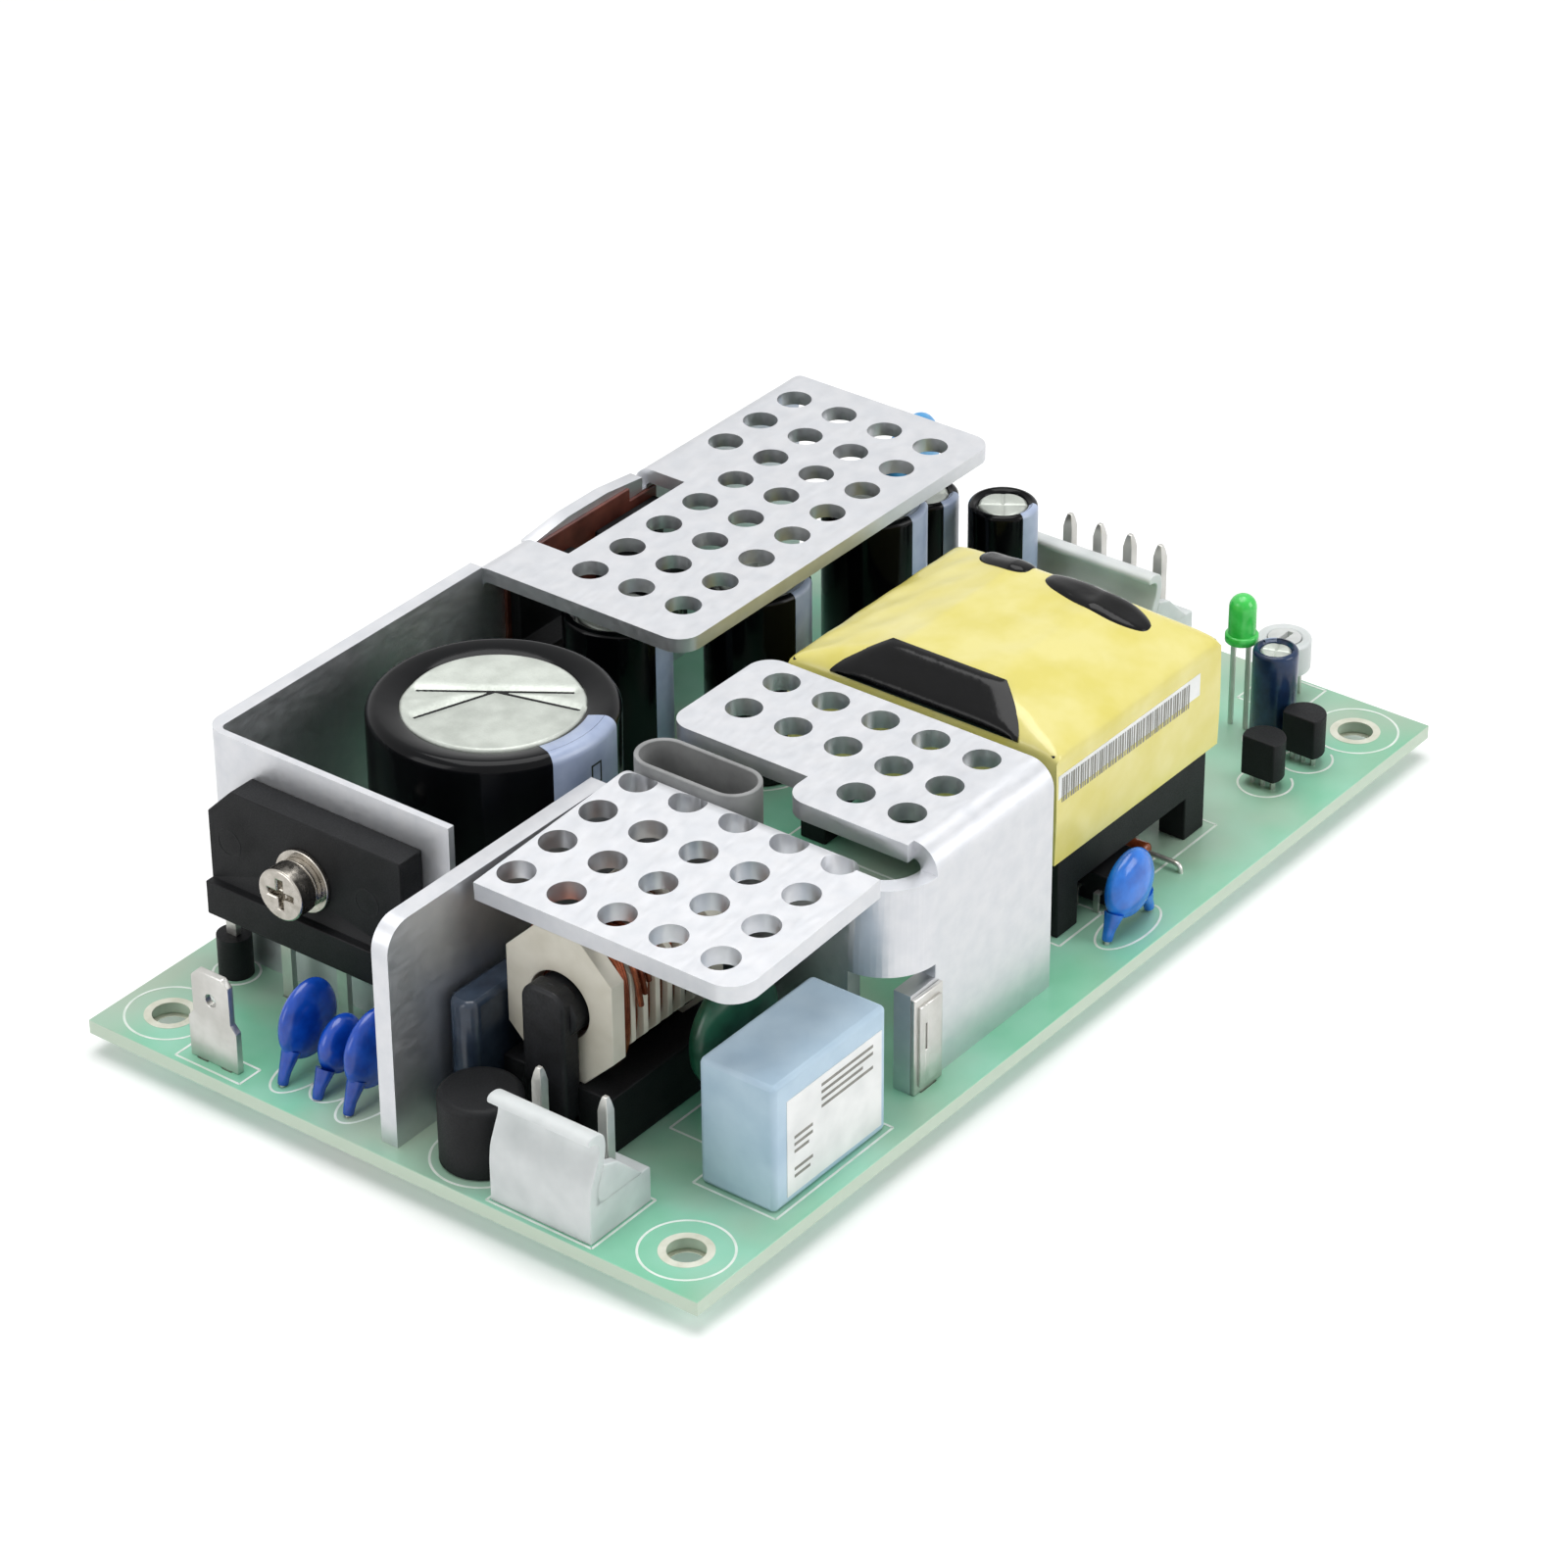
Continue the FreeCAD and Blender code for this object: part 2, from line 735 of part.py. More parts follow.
pad(front, "XZ", table.input_wall_y, table.front_sheet, [rectangle(
    at.input_wall_start, bend_start - table.input_flange_gap, front_low - table.front_sheet,
    table.input_wall_top)])
round_edges(front, table.input_flange_corner,
            edge_along("y", (at.input_wall_start, table.input_wall_top)))

# The flange over the switching transistor, with a notch for its tube
side_bend_x = plan_bend_x + table.bend_margin
side_stub = front_low - table.front_sheet
pad(front, "YZ", side_bend_x, at.side_wall_end - side_bend_x, [[
    (table.side_wall_y, side_stub), (table.side_wall_y, top), (table.side_flange_edge, top),
    (table.side_flange_edge, top - table.front_sheet), (side_inner, top - table.front_sheet),
    (side_inner, side_stub),
]])
round_edges(front, table.bend_inside, edge_along("x", (side_inner, top - table.front_sheet)))
round_edges(front, front_outside, edge_along("x", (table.side_wall_y, top)))
pad(front, "XY", top - table.front_sheet, table.front_sheet, [rectangle(
    at.side_flange_start, side_bend_x + table.bend_inside, table.side_wall_y + front_outside,
    table.side_notch_y)])
pocket(front, "XY", top - table.front_sheet, table.front_sheet, [rectangle(
    side_bend_x, at.side_notch_x, table.side_notch_y, table.side_flange_edge)])
round_edges(front, table.rear_flange_corner, edge_along(
    "z", (at.side_wall_end, table.side_flange_edge), (at.side_notch_x, table.side_flange_edge),
    (at.side_flange_start, table.side_notch_y)))
hole_depth = front_outside + table.input_flange_droop
hole_start = top - hole_depth
pitch = table.hole_pitch
input_grid_x = at.input_flange_end + table.input_grid_margin
input_grid_y = flange_near + table.input_grid_edge
hole_grid(front, hole_start, hole_depth, (input_grid_x, input_grid_y),
          (table.input_holes_long, table.input_holes_across), (1, 1))
side_grid_x = at.side_wall_end - table.side_grid_margin
side_grid_y = table.side_flange_edge - table.side_grid_edge
hole_grid(front, hole_start, hole_depth, (side_grid_x, side_grid_y),
          (table.side_holes_long, table.side_holes_across), (-1, -1))
hole_grid(front, hole_start, hole_depth,
          (side_grid_x - pitch * table.side_holes_long,
           side_grid_y - pitch * (table.side_holes_across - 1)),
          (as_size(1), table.side_extra_holes), (1, 1))

# Tinned clips on the heatsink feet, each with a pin soldered in the board


def solder_clip(name, x, face_y, outward):
    """A plate against a wall face, with its pin through the board."""
    plate_y = face_y if outward > 0 else face_y - table.clip_plate
    plate = box(f"{name}_plate", (table.clip_width, table.clip_plate, table.clip_height),
                (x - table.clip_width / 2, plate_y, board_top))
    pin = board_pin(f"{name}_pin", x, plate_y + table.clip_plate / 2,
                    table.clip_pin_width, table.clip_plate, board_top)
    return fuse(name, [plate, pin])


group("heatsink_clips", [
    solder_clip("tongue_clip", at.tongue_start + table.clip_width / 2, table.side_wall_y, -1),
    solder_clip("input_clip", at.input_clip_x, input_outer, 1),
    solder_clip("rear_clip", at.rear_clip_x, table.rear_wall_y, 1),
    solder_clip("far_clip", at.far_clip_x, table.rear_wall_y, 1),
])

# Bridge rectifier, screwed to the thin end flange

bridge_face = at.rear_wall_start - table.bridge_thickness
bridge_top = table.bridge_bottom + table.bridge_height
bridge_near = table.bridge_y - table.bridge_width / 2
bridge_far = table.bridge_y + table.bridge_width / 2
bridge = new_body("bridge_rectifier_body")
pad(bridge, "YZ", bridge_face, table.bridge_thickness,
    [rectangle(bridge_near, bridge_far, table.bridge_bottom, bridge_top)])
pad(bridge, "YZ", bridge_face - table.bridge_lip, table.bridge_lip, [rectangle(
    bridge_near, bridge_far, table.bridge_bottom, table.bridge_bottom + table.bridge_lip_height)])
round_edges(bridge, table.bridge_chamfer, edge_along("x", (bridge_far, bridge_top)), "Chamfer")
pocket(bridge, "YZ", bridge_face, table.bridge_thickness,
       circles=[((table.bridge_y, screw_z), table.screw_diameter + table.screw_clearance)])

lead_x = at.rear_wall_start - table.bridge_lead_back
lead_ys = [bridge_far - table.bridge_lead_margin - table.bridge_lead_pitch * n for n in range(4)]
group("bridge_rectifier_leads", [
    board_pin(f"bridge_lead_{n}", lead_x, y, table.bridge_lead_thickness, table.bridge_lead_width,
              table.bridge_bottom)
    for n, y in enumerate(lead_ys)])
bead = cylinder("bead_outside", table.bead_diameter, table.bead_height, (lead_x, lead_ys[0], board_top))
bead_bore = box("bead_bore", (table.bridge_lead_thickness, table.bridge_lead_width, table.bead_height),
                (lead_x - table.bridge_lead_thickness / 2, lead_ys[0] - table.bridge_lead_width / 2, board_top))
cut("ferrite_bead", bead, bead_bore)


def washer(name, diameter, thickness, start):
    disc = cylinder(f"{name}_disc", diameter, thickness, (start, table.bridge_y, screw_z), "x")
    bore = cylinder(f"{name}_bore", table.screw_diameter + table.screw_clearance, thickness,
                    (start, table.bridge_y, screw_z), "x")
    return cut(name, disc, bore)


flat_start = bridge_face - table.flat_washer_thickness
spring_start = flat_start - table.spring_washer_thickness
washer("flat_washer", table.flat_washer_diameter, table.flat_washer_thickness, flat_start)
washer("spring_washer", table.spring_washer_diameter, table.spring_washer_thickness, spring_start)
head_start = spring_start - table.screw_head_height
head = cylinder("screw_head", table.screw_head_diameter, table.screw_head_height,
                (head_start, table.bridge_y, screw_z), "x")
shank = cylinder("screw_shank", table.screw_diameter,
                 at.rear_wall_start + table.bridge_flange_sheet + table.screw_end - head_start,
                 (head_start, table.bridge_y, screw_z), "x")
slot_length = table.screw_head_diameter * 0.6
recess = fuse("screw_recess", [
    box(f"recess_{n}", (table.screw_head_height / 2, wide, high),
        (head_start, table.bridge_y - wide / 2, screw_z - high / 2))
    for n, (wide, high) in enumerate([(slot_length, slot_length / 5), (slot_length / 5, slot_length)])])
cut("rectifier_screw", fuse("screw_blank", [head, shank]), recess)

# Electrolytic capacitors: an aluminium can in a sleeve that laps over the rim


def can(name, x, y, diameter, height):
    """The can stands on the board and fills its sleeve."""
    wall = table.sleeve_wall
    body = new_body(name, (x, y, board_top))
    revolve(body, [(0, 0), (diameter / 2 - wall, 0), (diameter / 2 - wall, height - wall), (0, height - wall)])
    return body


def sleeve(name, x, y, diameter, height, lap):
    wall = table.sleeve_wall
    body = new_body(name, (x, y, board_top))
    revolve(body, [
        (diameter / 2 - wall, 0), (diameter / 2, 0), (diameter / 2, height), (diameter / 2 - lap, height),
        (diameter / 2 - lap, height - wall), (diameter / 2 - wall, height - wall)])
    return body


bulk_can = can("bulk_capacitor_can", at.bulk_x, table.bulk_y, table.bulk_diameter, table.bulk_height)
score = (table.bulk_diameter / 2 - table.bulk_lap) * 0.8
half_score = table.score_width / 2
pocket(bulk_can, "XY", table.bulk_height - table.sleeve_wall - table.score_depth, table.score_depth, [[
    (-score, -half_score), (score, -half_score), (score, half_score), (half_score, half_score),
    (half_score, score), (-half_score, score), (-half_score, half_score), (-score, half_score)]])
sleeve("bulk_capacitor_sleeve", at.bulk_x, table.bulk_y, table.bulk_diameter, table.bulk_height,
       table.bulk_lap)
output_places = [(at.output_first_x, table.output_first_y), (at.output_second_x, table.output_y),
                 (at.output_third_x, table.output_y)]
group("output_capacitor_cans", [
    can(f"output_can_{n}", x, y, table.output_diameter, table.output_height)
    for n, (x, y) in enumerate(output_places)])
group("output_capacitor_sleeves", [
    sleeve(f"output_sleeve_{n}", x, y, table.output_diameter, table.output_height, table.output_lap)
    for n, (x, y) in enumerate(output_places)])
slim_places = [(at.near_slim_x, table.near_slim_y), (at.far_slim_x, table.far_slim_y)]
group("slim_capacitor_cans", [
    can(f"slim_can_{n}", x, y, table.slim_diameter, table.slim_height)
    for n, (x, y) in enumerate(slim_places)])
group("slim_capacitor_sleeves", [
    sleeve(f"slim_sleeve_{n}", x, y, table.slim_diameter, table.slim_height, table.slim_lap)
    for n, (x, y) in enumerate(slim_places)])
can("small_capacitor_can", at.small_x, table.small_y, table.small_diameter, table.small_height)
sleeve("small_capacitor_sleeve", at.small_x, table.small_y, table.small_diameter,
       table.small_height, table.small_lap)

# Power transistors: a plastic package, a metal tab above it, and three leads


def package(name, x, y, bottom, outward, axis):
    """A package whose back lies on the plane x or y, on the side that outward points to."""
    width = table.package_width
    thick = table.package_thickness

    def slab(label, wide, back, front, low, high, aside=0):
        """A box between two distances from the back, set aside from the package's middle line."""
        start = back if outward > 0 else -as_size(front)
        deep = as_size(front) - back
        if axis == "x":
            return box(label, (deep, wide, high - low), (x + start, y + aside - wide / 2, low))
        return box(label, (wide, deep, high - low), (x + aside - wide / 2, y + start, low))

    plastic_top = bottom + table.package_body
    leads = [slab(f"{name}_lead_{n}", table.package_lead_width, (thick - table.lead) / 2, (thick + table.lead) / 2,
                  board_top, bottom + table.lead, table.package_lead_pitch * (n - 1)) for n in range(3)]
    return fuse(name, [
        slab(f"{name}_plastic", width, 0, thick, bottom, plastic_top),
        slab(f"{name}_tab", width, 0, table.package_tab_thickness, plastic_top, plastic_top + table.package_tab),
    ] + leads)


# The switching transistor stands in a silicone tube, which rests against the cross wall
tube_x = at.cross_wall_x + table.seat_gap + table.tube_width / 2


def oval(name, length, width, low, high):
    """An upright oval column, with its length along Y, around the tube's axis."""
    straight = length - width
    middle = box(f"{name}_middle", (width, straight, high - low),
                 (tube_x - width / 2, table.tube_y - straight / 2, low))
    ends = [cylinder(f"{name}_end_{n}", width, high - low, (tube_x, table.tube_y + straight * side / 2, low))
            for n, side in enumerate((-1, 1))]
    return fuse(name, [middle] + ends)


cut("silicone_tube", oval("tube_outside", table.tube_length, table.tube_width, table.tube_bottom, table.tube_top),
    oval("tube_inside", table.tube_length - table.tube_wall * 2, table.tube_width - table.tube_wall * 2,
         table.tube_bottom, table.tube_top))
package("switching_transistor", tube_x - table.package_thickness / 2, table.tube_y,
        table.tube_bottom + table.tube_overhang, 1, "x")

# Two output rectifiers on an insulating pad, held by a bar with one screw between them
pad_y = wall_inner - table.rectifier_pad
clamp_z = table.rectifier_bottom + table.package_body * 0.6
thread_hole = table.screw_diameter + table.screw_clearance
pad_shoulder = wall_low - table.seat_gap
half_pad = table.rectifier_pad_width / 2
half_neck = table.rectifier_neck_width / 2
insulator = new_body("insulating_pad")
pad(insulator, "XZ", pad_y, table.rectifier_pad, [[
    (at.rectifier_x - half_pad, table.rectifier_bottom), (at.rectifier_x + half_pad, table.rectifier_bottom),
    (at.rectifier_x + half_pad, pad_shoulder), (at.rectifier_x + half_neck, pad_shoulder),
    (at.rectifier_x + half_neck, table.rectifier_neck_top),
    (at.rectifier_x - half_neck, table.rectifier_neck_top),
    (at.rectifier_x - half_neck, pad_shoulder), (at.rectifier_x - half_pad, pad_shoulder)]])
pocket(insulator, "XZ", pad_y, table.rectifier_pad, circles=[((at.rectifier_x, clamp_z), thread_hole)])
rectifier_xs = [at.rectifier_x + side * (table.package_width + table.rectifier_gap) / 2 for side in (-1, 1)]
group("output_rectifiers", [
    package(f"output_rectifier_{n}", x, pad_y, table.rectifier_bottom, -1, "y")
    for n, x in enumerate(rectifier_xs)])
bar_y = pad_y - table.package_thickness - table.clamp_thickness
clamp_bar = box("clamp_bar_blank", (table.clamp_length, table.clamp_thickness, table.clamp_height),
                (at.rectifier_x - table.clamp_length / 2, bar_y, clamp_z - table.clamp_height / 2))
bar_hole = cylinder("bar_hole", thread_hole, table.clamp_thickness, (at.rectifier_x, bar_y, clamp_z), "y")
cut("rectifier_clamp", clamp_bar, bar_hole)
clamp_head = cylinder("clamp_head", table.screw_head_diameter, table.screw_head_height,
                      (at.rectifier_x, bar_y - table.screw_head_height, clamp_z), "y")
clamp_shank = cylinder("clamp_shank", table.screw_diameter, wall_inner - bar_y, (at.rectifier_x, bar_y, clamp_z), "y")
fuse("clamp_screw", [clamp_head, clamp_shank])

# Transformer: a core with a coil round its centre leg, wrapped in tape, on a bobbin with pins

core_left = at.transformer_x - table.core_length / 2
core_right = at.transformer_x + table.core_length / 2
core_front = table.transformer_y - table.core_width / 2
core_back = table.transformer_y + table.core_width / 2
core_top = table.core_bottom + table.core_height
window = rectangle(core_left + table.core_leg, core_right - table.core_leg,
                   core_front + table.core_leg, core_back - table.core_leg)
core = new_body("core_frame")
pad(core, "XY", table.core_bottom, table.core_height, [rectangle(core_left, core_right, core_front, core_back)])
pocket(core, "XY", table.core_bottom, table.core_height, [window])
centre_leg = box("centre_leg", (table.core_length, table.core_centre_leg, table.core_height / 2),
                 (core_left, table.transformer_y - table.core_centre_leg / 2,
                  table.core_bottom + table.core_height / 4))
fuse("transformer_core", [core, centre_leg])

coil = new_body("transformer_coil")
slack = table.winding_slack
pad(coil, "XY", table.core_bottom, table.core_height, [rectangle(
    core_left + table.core_leg + slack, core_right - table.core_leg - slack,
    core_front + table.core_leg + slack, core_back - table.core_leg - slack)])
half_coil = table.winding_width / 2
half_flat = table.winding_flat / 2
pad(coil, "YZ", at.transformer_x - table.winding_length / 2, table.winding_length, [[
    (table.transformer_y - half_coil, core_top), (table.transformer_y + half_coil, core_top),
    (table.transformer_y + half_flat, table.winding_crown),
    (table.transformer_y - half_flat, table.winding_crown)]])


def slope_ends(body):
    """Cuts the crown down to a slope at both ends of the coil, through the tape as well."""
    half_length = table.winding_length / 2
    low = core_top + table.tape_thickness
    high = table.winding_crown + table.tape_thickness
    slope = table.winding_end_slope
    pocket(body, "XZ", core_front - slack, table.core_width + slack * 2, [
        [(at.transformer_x - half_length, low), (at.transformer_x - half_length + slope, high), (at.transformer_x - half_length, high)],
        [(at.transformer_x + half_length, low), (at.transformer_x + half_length, high), (at.transformer_x + half_length - slope, high)]])


slope_ends(coil)
cut("transformer_winding", coil, centre_leg)

tape = new_body("transformer_tape")
wrap = table.tape_thickness


def wrap_outline(grow):
    """The section of the wrapped coil, grown by the thickness of the tape."""
    return [
        (core_front - grow, table.core_bottom - grow), (core_back + grow, table.core_bottom - grow),
        (core_back + grow, core_top + grow), (table.transformer_y + half_coil, core_top + grow),
        (table.transformer_y + half_flat, table.winding_crown + grow),
        (table.transformer_y - half_flat, table.winding_crown + grow),
        (table.transformer_y - half_coil, core_top + grow), (core_front - grow, core_top + grow)]


pad(tape, "YZ", at.transformer_x - table.tape_length / 2, table.tape_length,
    [wrap_outline(wrap), wrap_outline(as_size(0))])
slope_ends(tape)

rail_top = table.core_bottom - wrap
rail_left = at.transformer_x - table.rail_length / 2
rail_ys = (core_front, core_back - table.rail_depth)
frame_parts = [box("bobbin_web", (table.rail_length, table.core_width, table.web_thickness),
                   (rail_left, core_front, rail_top - table.web_thickness))]
pin_parts = []
pin = table.transformer_pin
for side, rail_y in enumerate(rail_ys):
    frame_parts.append(box(f"rail_{side}", (table.rail_length, table.rail_depth, rail_top - table.rail_bottom),
                           (rail_left, rail_y, table.rail_bottom)))
    leg_y = rail_y if side == 0 else rail_y + table.rail_depth - table.leg_depth
    inset = table.transformer_pin_inset
    pin_y = rail_y + table.rail_depth - inset if side == 0 else rail_y + inset
    for end in range(2):
        leg_x = rail_left + (table.rail_length - table.leg_width) * end
        frame_parts.append(box(f"leg_{side}_{end}", (table.leg_width, table.leg_depth, table.rail_bottom - board_top),
                               (leg_x, leg_y, board_top)))
    for n in range(4):
        pin_x = at.transformer_x + table.transformer_pin_pitch * (n - 1.5)
        pin_parts.append(box(f"transformer_pin_{side}_{n}", (pin, pin, table.rail_bottom - board_top),
                             (pin_x - pin / 2, pin_y - pin / 2, board_top)))
fuse("transformer_bobbin", frame_parts)
group("transformer_pins", pin_parts)

# Common mode choke: an octagonal bobbin on the top limb of a closed core, over a base


limb_z = droop_top - table.front_sheet - table.choke_headroom - table.choke_flange_height / 2


def octagon(half_wide, half_high, chamfer):
    """An octagon in the YZ plane round the choke's axis, which lies under the input flange."""
    y, z = table.choke_y, limb_z
    return [
        (y - half_wide, z - half_high + chamfer), (y - half_wide + chamfer, z - half_high),
        (y + half_wide - chamfer, z - half_high), (y + half_wide, z - half_high + chamfer),
        (y + half_wide, z + half_high - chamfer), (y + half_wide - chamfer, z + half_high),
        (y - half_wide + chamfer, z + half_high), (y - half_wide, z + half_high - chamfer)]


def choke_section(inset):
    return octagon(table.choke_flange_width / 2 - inset, table.choke_flange_height / 2 - inset,
                   table.choke_flange_chamfer)


choke_left = at.choke_x - table.choke_length / 2
bobbin = new_body("choke_bobbin")
barrel = octagon(table.choke_barrel / 2, table.choke_barrel / 2, table.choke_barrel / 4)
pad(bobbin, "YZ", choke_left, table.choke_length, [barrel])
for n in range(2):
    pad(bobbin, "YZ", choke_left + (table.choke_length - table.choke_flange_thickness) * n,
        table.choke_flange_thickness, [choke_section(as_size(0))])
rib_count = 6
coil_room = table.choke_length - table.choke_flange_thickness * 2
rib_step = coil_room / (rib_count + 1)
coil_start = choke_left + table.choke_flange_thickness
for n in range(rib_count):
    pad(bobbin, "YZ", coil_start + rib_step * (n + 1) - table.choke_rib_thickness / 2,
        table.choke_rib_thickness, [choke_section(table.choke_rib_inset)])
pocket(bobbin, "YZ", choke_left, table.choke_length,
       circles=[((table.choke_y, limb_z), table.choke_bore)])

choke_coils = []
for n in range(rib_count + 1):
    start = coil_start + rib_step * n
    start = start if n == 0 else start + table.choke_rib_thickness / 2
    end = coil_start + rib_step * (n + 1)
    end = end if n == rib_count else end - table.choke_rib_thickness / 2
    section = new_body(f"choke_coil_{n}")
    pad(section, "YZ", start, end - start, [choke_section(table.choke_winding_inset), barrel])
    choke_coils.append(section)
group("choke_winding", choke_coils)

core_low = board_top + table.choke_floor
yoke = table.choke_yoke_thickness
half_limb = table.choke_limb / 2
half_yoke = table.choke_yoke_width / 2
core_start = choke_left - yoke
core_reach = table.choke_length + yoke * 2
core_parts = [
    cylinder("choke_limb", table.choke_limb, core_reach, (core_start, table.choke_y, limb_z), "x"),
    box("choke_low_limb", (core_reach, table.choke_yoke_width, yoke), (core_start, table.choke_y - half_yoke, core_low))]
for n in range(2):
    core_parts.append(box(f"choke_yoke_{n}", (yoke, table.choke_yoke_width, limb_z - core_low),
                          (core_start + (table.choke_length + yoke) * n, table.choke_y - half_yoke, core_low)))
fuse("choke_core", core_parts)

base_top = limb_z - table.choke_flange_height / 2
base_x = at.choke_x - table.choke_base_length / 2
base_block = box("choke_base_block", (table.choke_base_length, table.choke_base_width, base_top - board_top),
                 (base_x, table.choke_y - table.choke_base_width / 2, board_top))
base_channel = box("choke_base_channel",
                   (table.choke_base_length, table.choke_yoke_width, base_top - core_low),
                   (base_x, table.choke_y - half_yoke, core_low))
cut("choke_base", base_block, base_channel)

# Mains filter: fuse, film capacitor, suppressor capacitor and varistor

fuse_body = new_body("fuse", (at.fuse_x, table.fuse_y, board_top))
revolve(fuse_body, [(0, 0), (table.fuse_diameter / 2, 0), (table.fuse_diameter / 2, table.fuse_height),
                    (0, table.fuse_height)])
film = new_body("film_capacitor")
film_low = board_top + table.lead
film_x0 = at.film_x - table.film_length / 2
film_y0 = table.film_y - table.film_thickness / 2
pad(film, "XY", film_low, table.film_height, [rectangle(
    film_x0, film_x0 + table.film_length, film_y0, film_y0 + table.film_thickness)])
round_edges(film, table.film_thickness / 4, edge_along(
    "z", (film_x0, film_y0), (film_x0 + table.film_length, film_y0),
    (film_x0, film_y0 + table.film_thickness), (film_x0 + table.film_length, film_y0 + table.film_thickness)),
    "Chamfer")
box("suppressor_capacitor", (table.suppressor_length, table.suppressor_width, table.suppressor_height),
    (at.suppressor_x - table.suppressor_length / 2, table.suppressor_y - table.suppressor_width / 2, board_top))

# Disc parts stand on edge, with their leads splayed to the holes


def disc_part(name, x, y, diameter, thickness, stand):
    """A disc facing along Y over its two leads, which reach the board one pitch apart."""
    middle = board_top + stand + diameter / 2
    disc = cylinder(name, diameter, thickness, (x, y - thickness / 2, middle), "y")
    leads = new_body(f"{name}_lead_pair")
    inner = diameter * 0.25
    outer = table.disc_pitch / 2
    for side in (-1, 1):
        pad(leads, "XZ", y - table.lead / 2, table.lead, [[
            (x + side * (outer - table.lead / 2), board_top), (x + side * (outer + table.lead / 2), board_top),
            (x + side * (inner + table.lead / 2), middle), (x + side * (inner - table.lead / 2), middle)]])
    return disc, cut(f"{name}_leads", leads, disc)


discs = []
disc_leads = []
for n, diameter in enumerate((table.large_disc, table.medium_disc, table.large_disc)):
    disc, pair = disc_part(f"input_disc_{n}", at.input_disc_x, table.first_disc_y - table.disc_spacing * n,
                           diameter, table.disc_thickness, table.disc_stand)
    discs.append(disc)
    disc_leads.append(pair)
group("input_disc_capacitors", discs)
for name, x, y, diameter, thickness, stand in (
        ("side_disc_capacitor", at.side_disc_x, table.side_disc_y, table.side_disc, table.disc_thickness,
         table.disc_stand),
        ("far_disc_capacitor", at.far_disc_x, table.far_disc_y, table.far_disc, table.disc_thickness,
         table.far_disc_stand),
        ("varistor", at.varistor_x, table.varistor_y, table.varistor_diameter, table.varistor_thickness,
         table.varistor_stand)):
    disc_leads.append(disc_part(name, x, y, diameter, thickness, stand)[1])

# Wafer headers: one section for both, with a latch wall and a rib at each end


def header(name, x, y, positions, fitted):
    """A header whose latch wall stands at x, with pins at the fitted positions."""
    width = table.header_pitch * (positions - 1) + table.header_margin * 2
    y0 = y - width / 2
    foot = x + table.header_lean
    floor = board_top + table.header_floor
    wall_top = board_top + table.header_height
    body = new_body(f"{name}_body")
    pad(body, "XZ", y0, width, [[
        (foot, board_top), (x + table.header_depth, board_top), (x + table.header_depth, floor),
        (foot + table.header_wall, floor), (x + table.header_wall + table.header_barb, wall_top - table.header_barb * 2),
        (x + table.header_wall, wall_top), (x, wall_top), (foot, floor)]])
    for n in range(2):
        pad(body, "XZ", y0 + (width - table.header_rib) * n, table.header_rib, [[
            (foot, floor), (x + table.header_depth - table.header_wall, floor),
            (foot + table.header_wall * 2, floor + table.header_rib_height),
            (foot - table.header_lean * 0.4, floor + table.header_rib_height)]])
    pins = []
    bores = []
    size = table.header_pin
    pin_x = x + table.header_pin_back
    for n in fitted:
        pin_y = y + table.header_pitch * (n - (positions - 1) / 2)
        pins.append(board_pin(f"{name}_pin_{n}", pin_x, pin_y, size, size, board_top + table.header_pin_height))
        bores.append(box(f"{name}_bore_{n}", (size, size, table.header_floor),
                         (pin_x - size / 2, pin_y - size / 2, board_top)))
    cut(f"{name}_housing", body, fuse(f"{name}_bores", bores))
    group(f"{name}_pins", pins)


header("input_header", at.input_header_x, table.input_header_y, 3, (0, 2))
header("output_header", at.output_header_x, table.output_header_y, 4, (0, 1, 2, 3))

# Ground blade with a shouldered foot

blade = new_body("ground_blade")
blade_x = at.blade_x - table.blade_thickness / 2
half_blade = table.blade_width / 2
half_foot = table.blade_foot / 2
blade_top = board_top + table.blade_height
foot_top = board_top + table.blade_foot_height
nick = table.blade_thickness
pad(blade, "YZ", blade_x, table.blade_thickness, [[
    (table.blade_y - half_foot, board_top), (table.blade_y + half_foot, board_top),
    (table.blade_y + half_foot, foot_top), (table.blade_y + half_blade, foot_top + nick),
    (table.blade_y + half_blade, blade_top - nick), (table.blade_y + half_blade - nick, blade_top),
    (table.blade_y - half_blade + nick, blade_top), (table.blade_y - half_blade, blade_top - nick),
    (table.blade_y - half_blade, foot_top + nick), (table.blade_y - half_foot, foot_top)]])
pocket(blade, "YZ", blade_x, table.blade_thickness,
       circles=[((table.blade_y, board_top + table.blade_hole_height), table.blade_hole)])
blade_pins = [
    board_pin(f"blade_pin_{n}", at.blade_x, table.blade_y + side * half_foot / 2,
              table.blade_thickness, table.header_pin, board_top)
    for n, side in enumerate((-1, 1))]
fuse("ground_tab", [blade] + blade_pins)

# Indicator on a tall seat, and the trimmer with its turning rotor

indicator_seat = board_top + table.indicator_seat
lamp = new_body("indicator", (at.indicator_x, table.indicator_y, indicator_seat))
lamp_r = table.indicator_diameter / 2
lamp_top = table.indicator_length
revolve(lamp, [(0, 0), (table.indicator_rim / 2, 0), (table.indicator_rim / 2, table.indicator_rim_height),
               (lamp_r, table.indicator_rim_height), (lamp_r, lamp_top - lamp_r), (lamp_r * 0.6, lamp_top - lamp_r * 0.2),
               (0, lamp_top)])
indicator_leads = [
    lead(f"indicator_lead_{n}", indicator_seat,
         (at.indicator_x, table.indicator_y + side * table.indicator_pitch / 2, board_top))
    for n, side in enumerate((-1, 1))]
group("indicator_leads", indicator_leads)

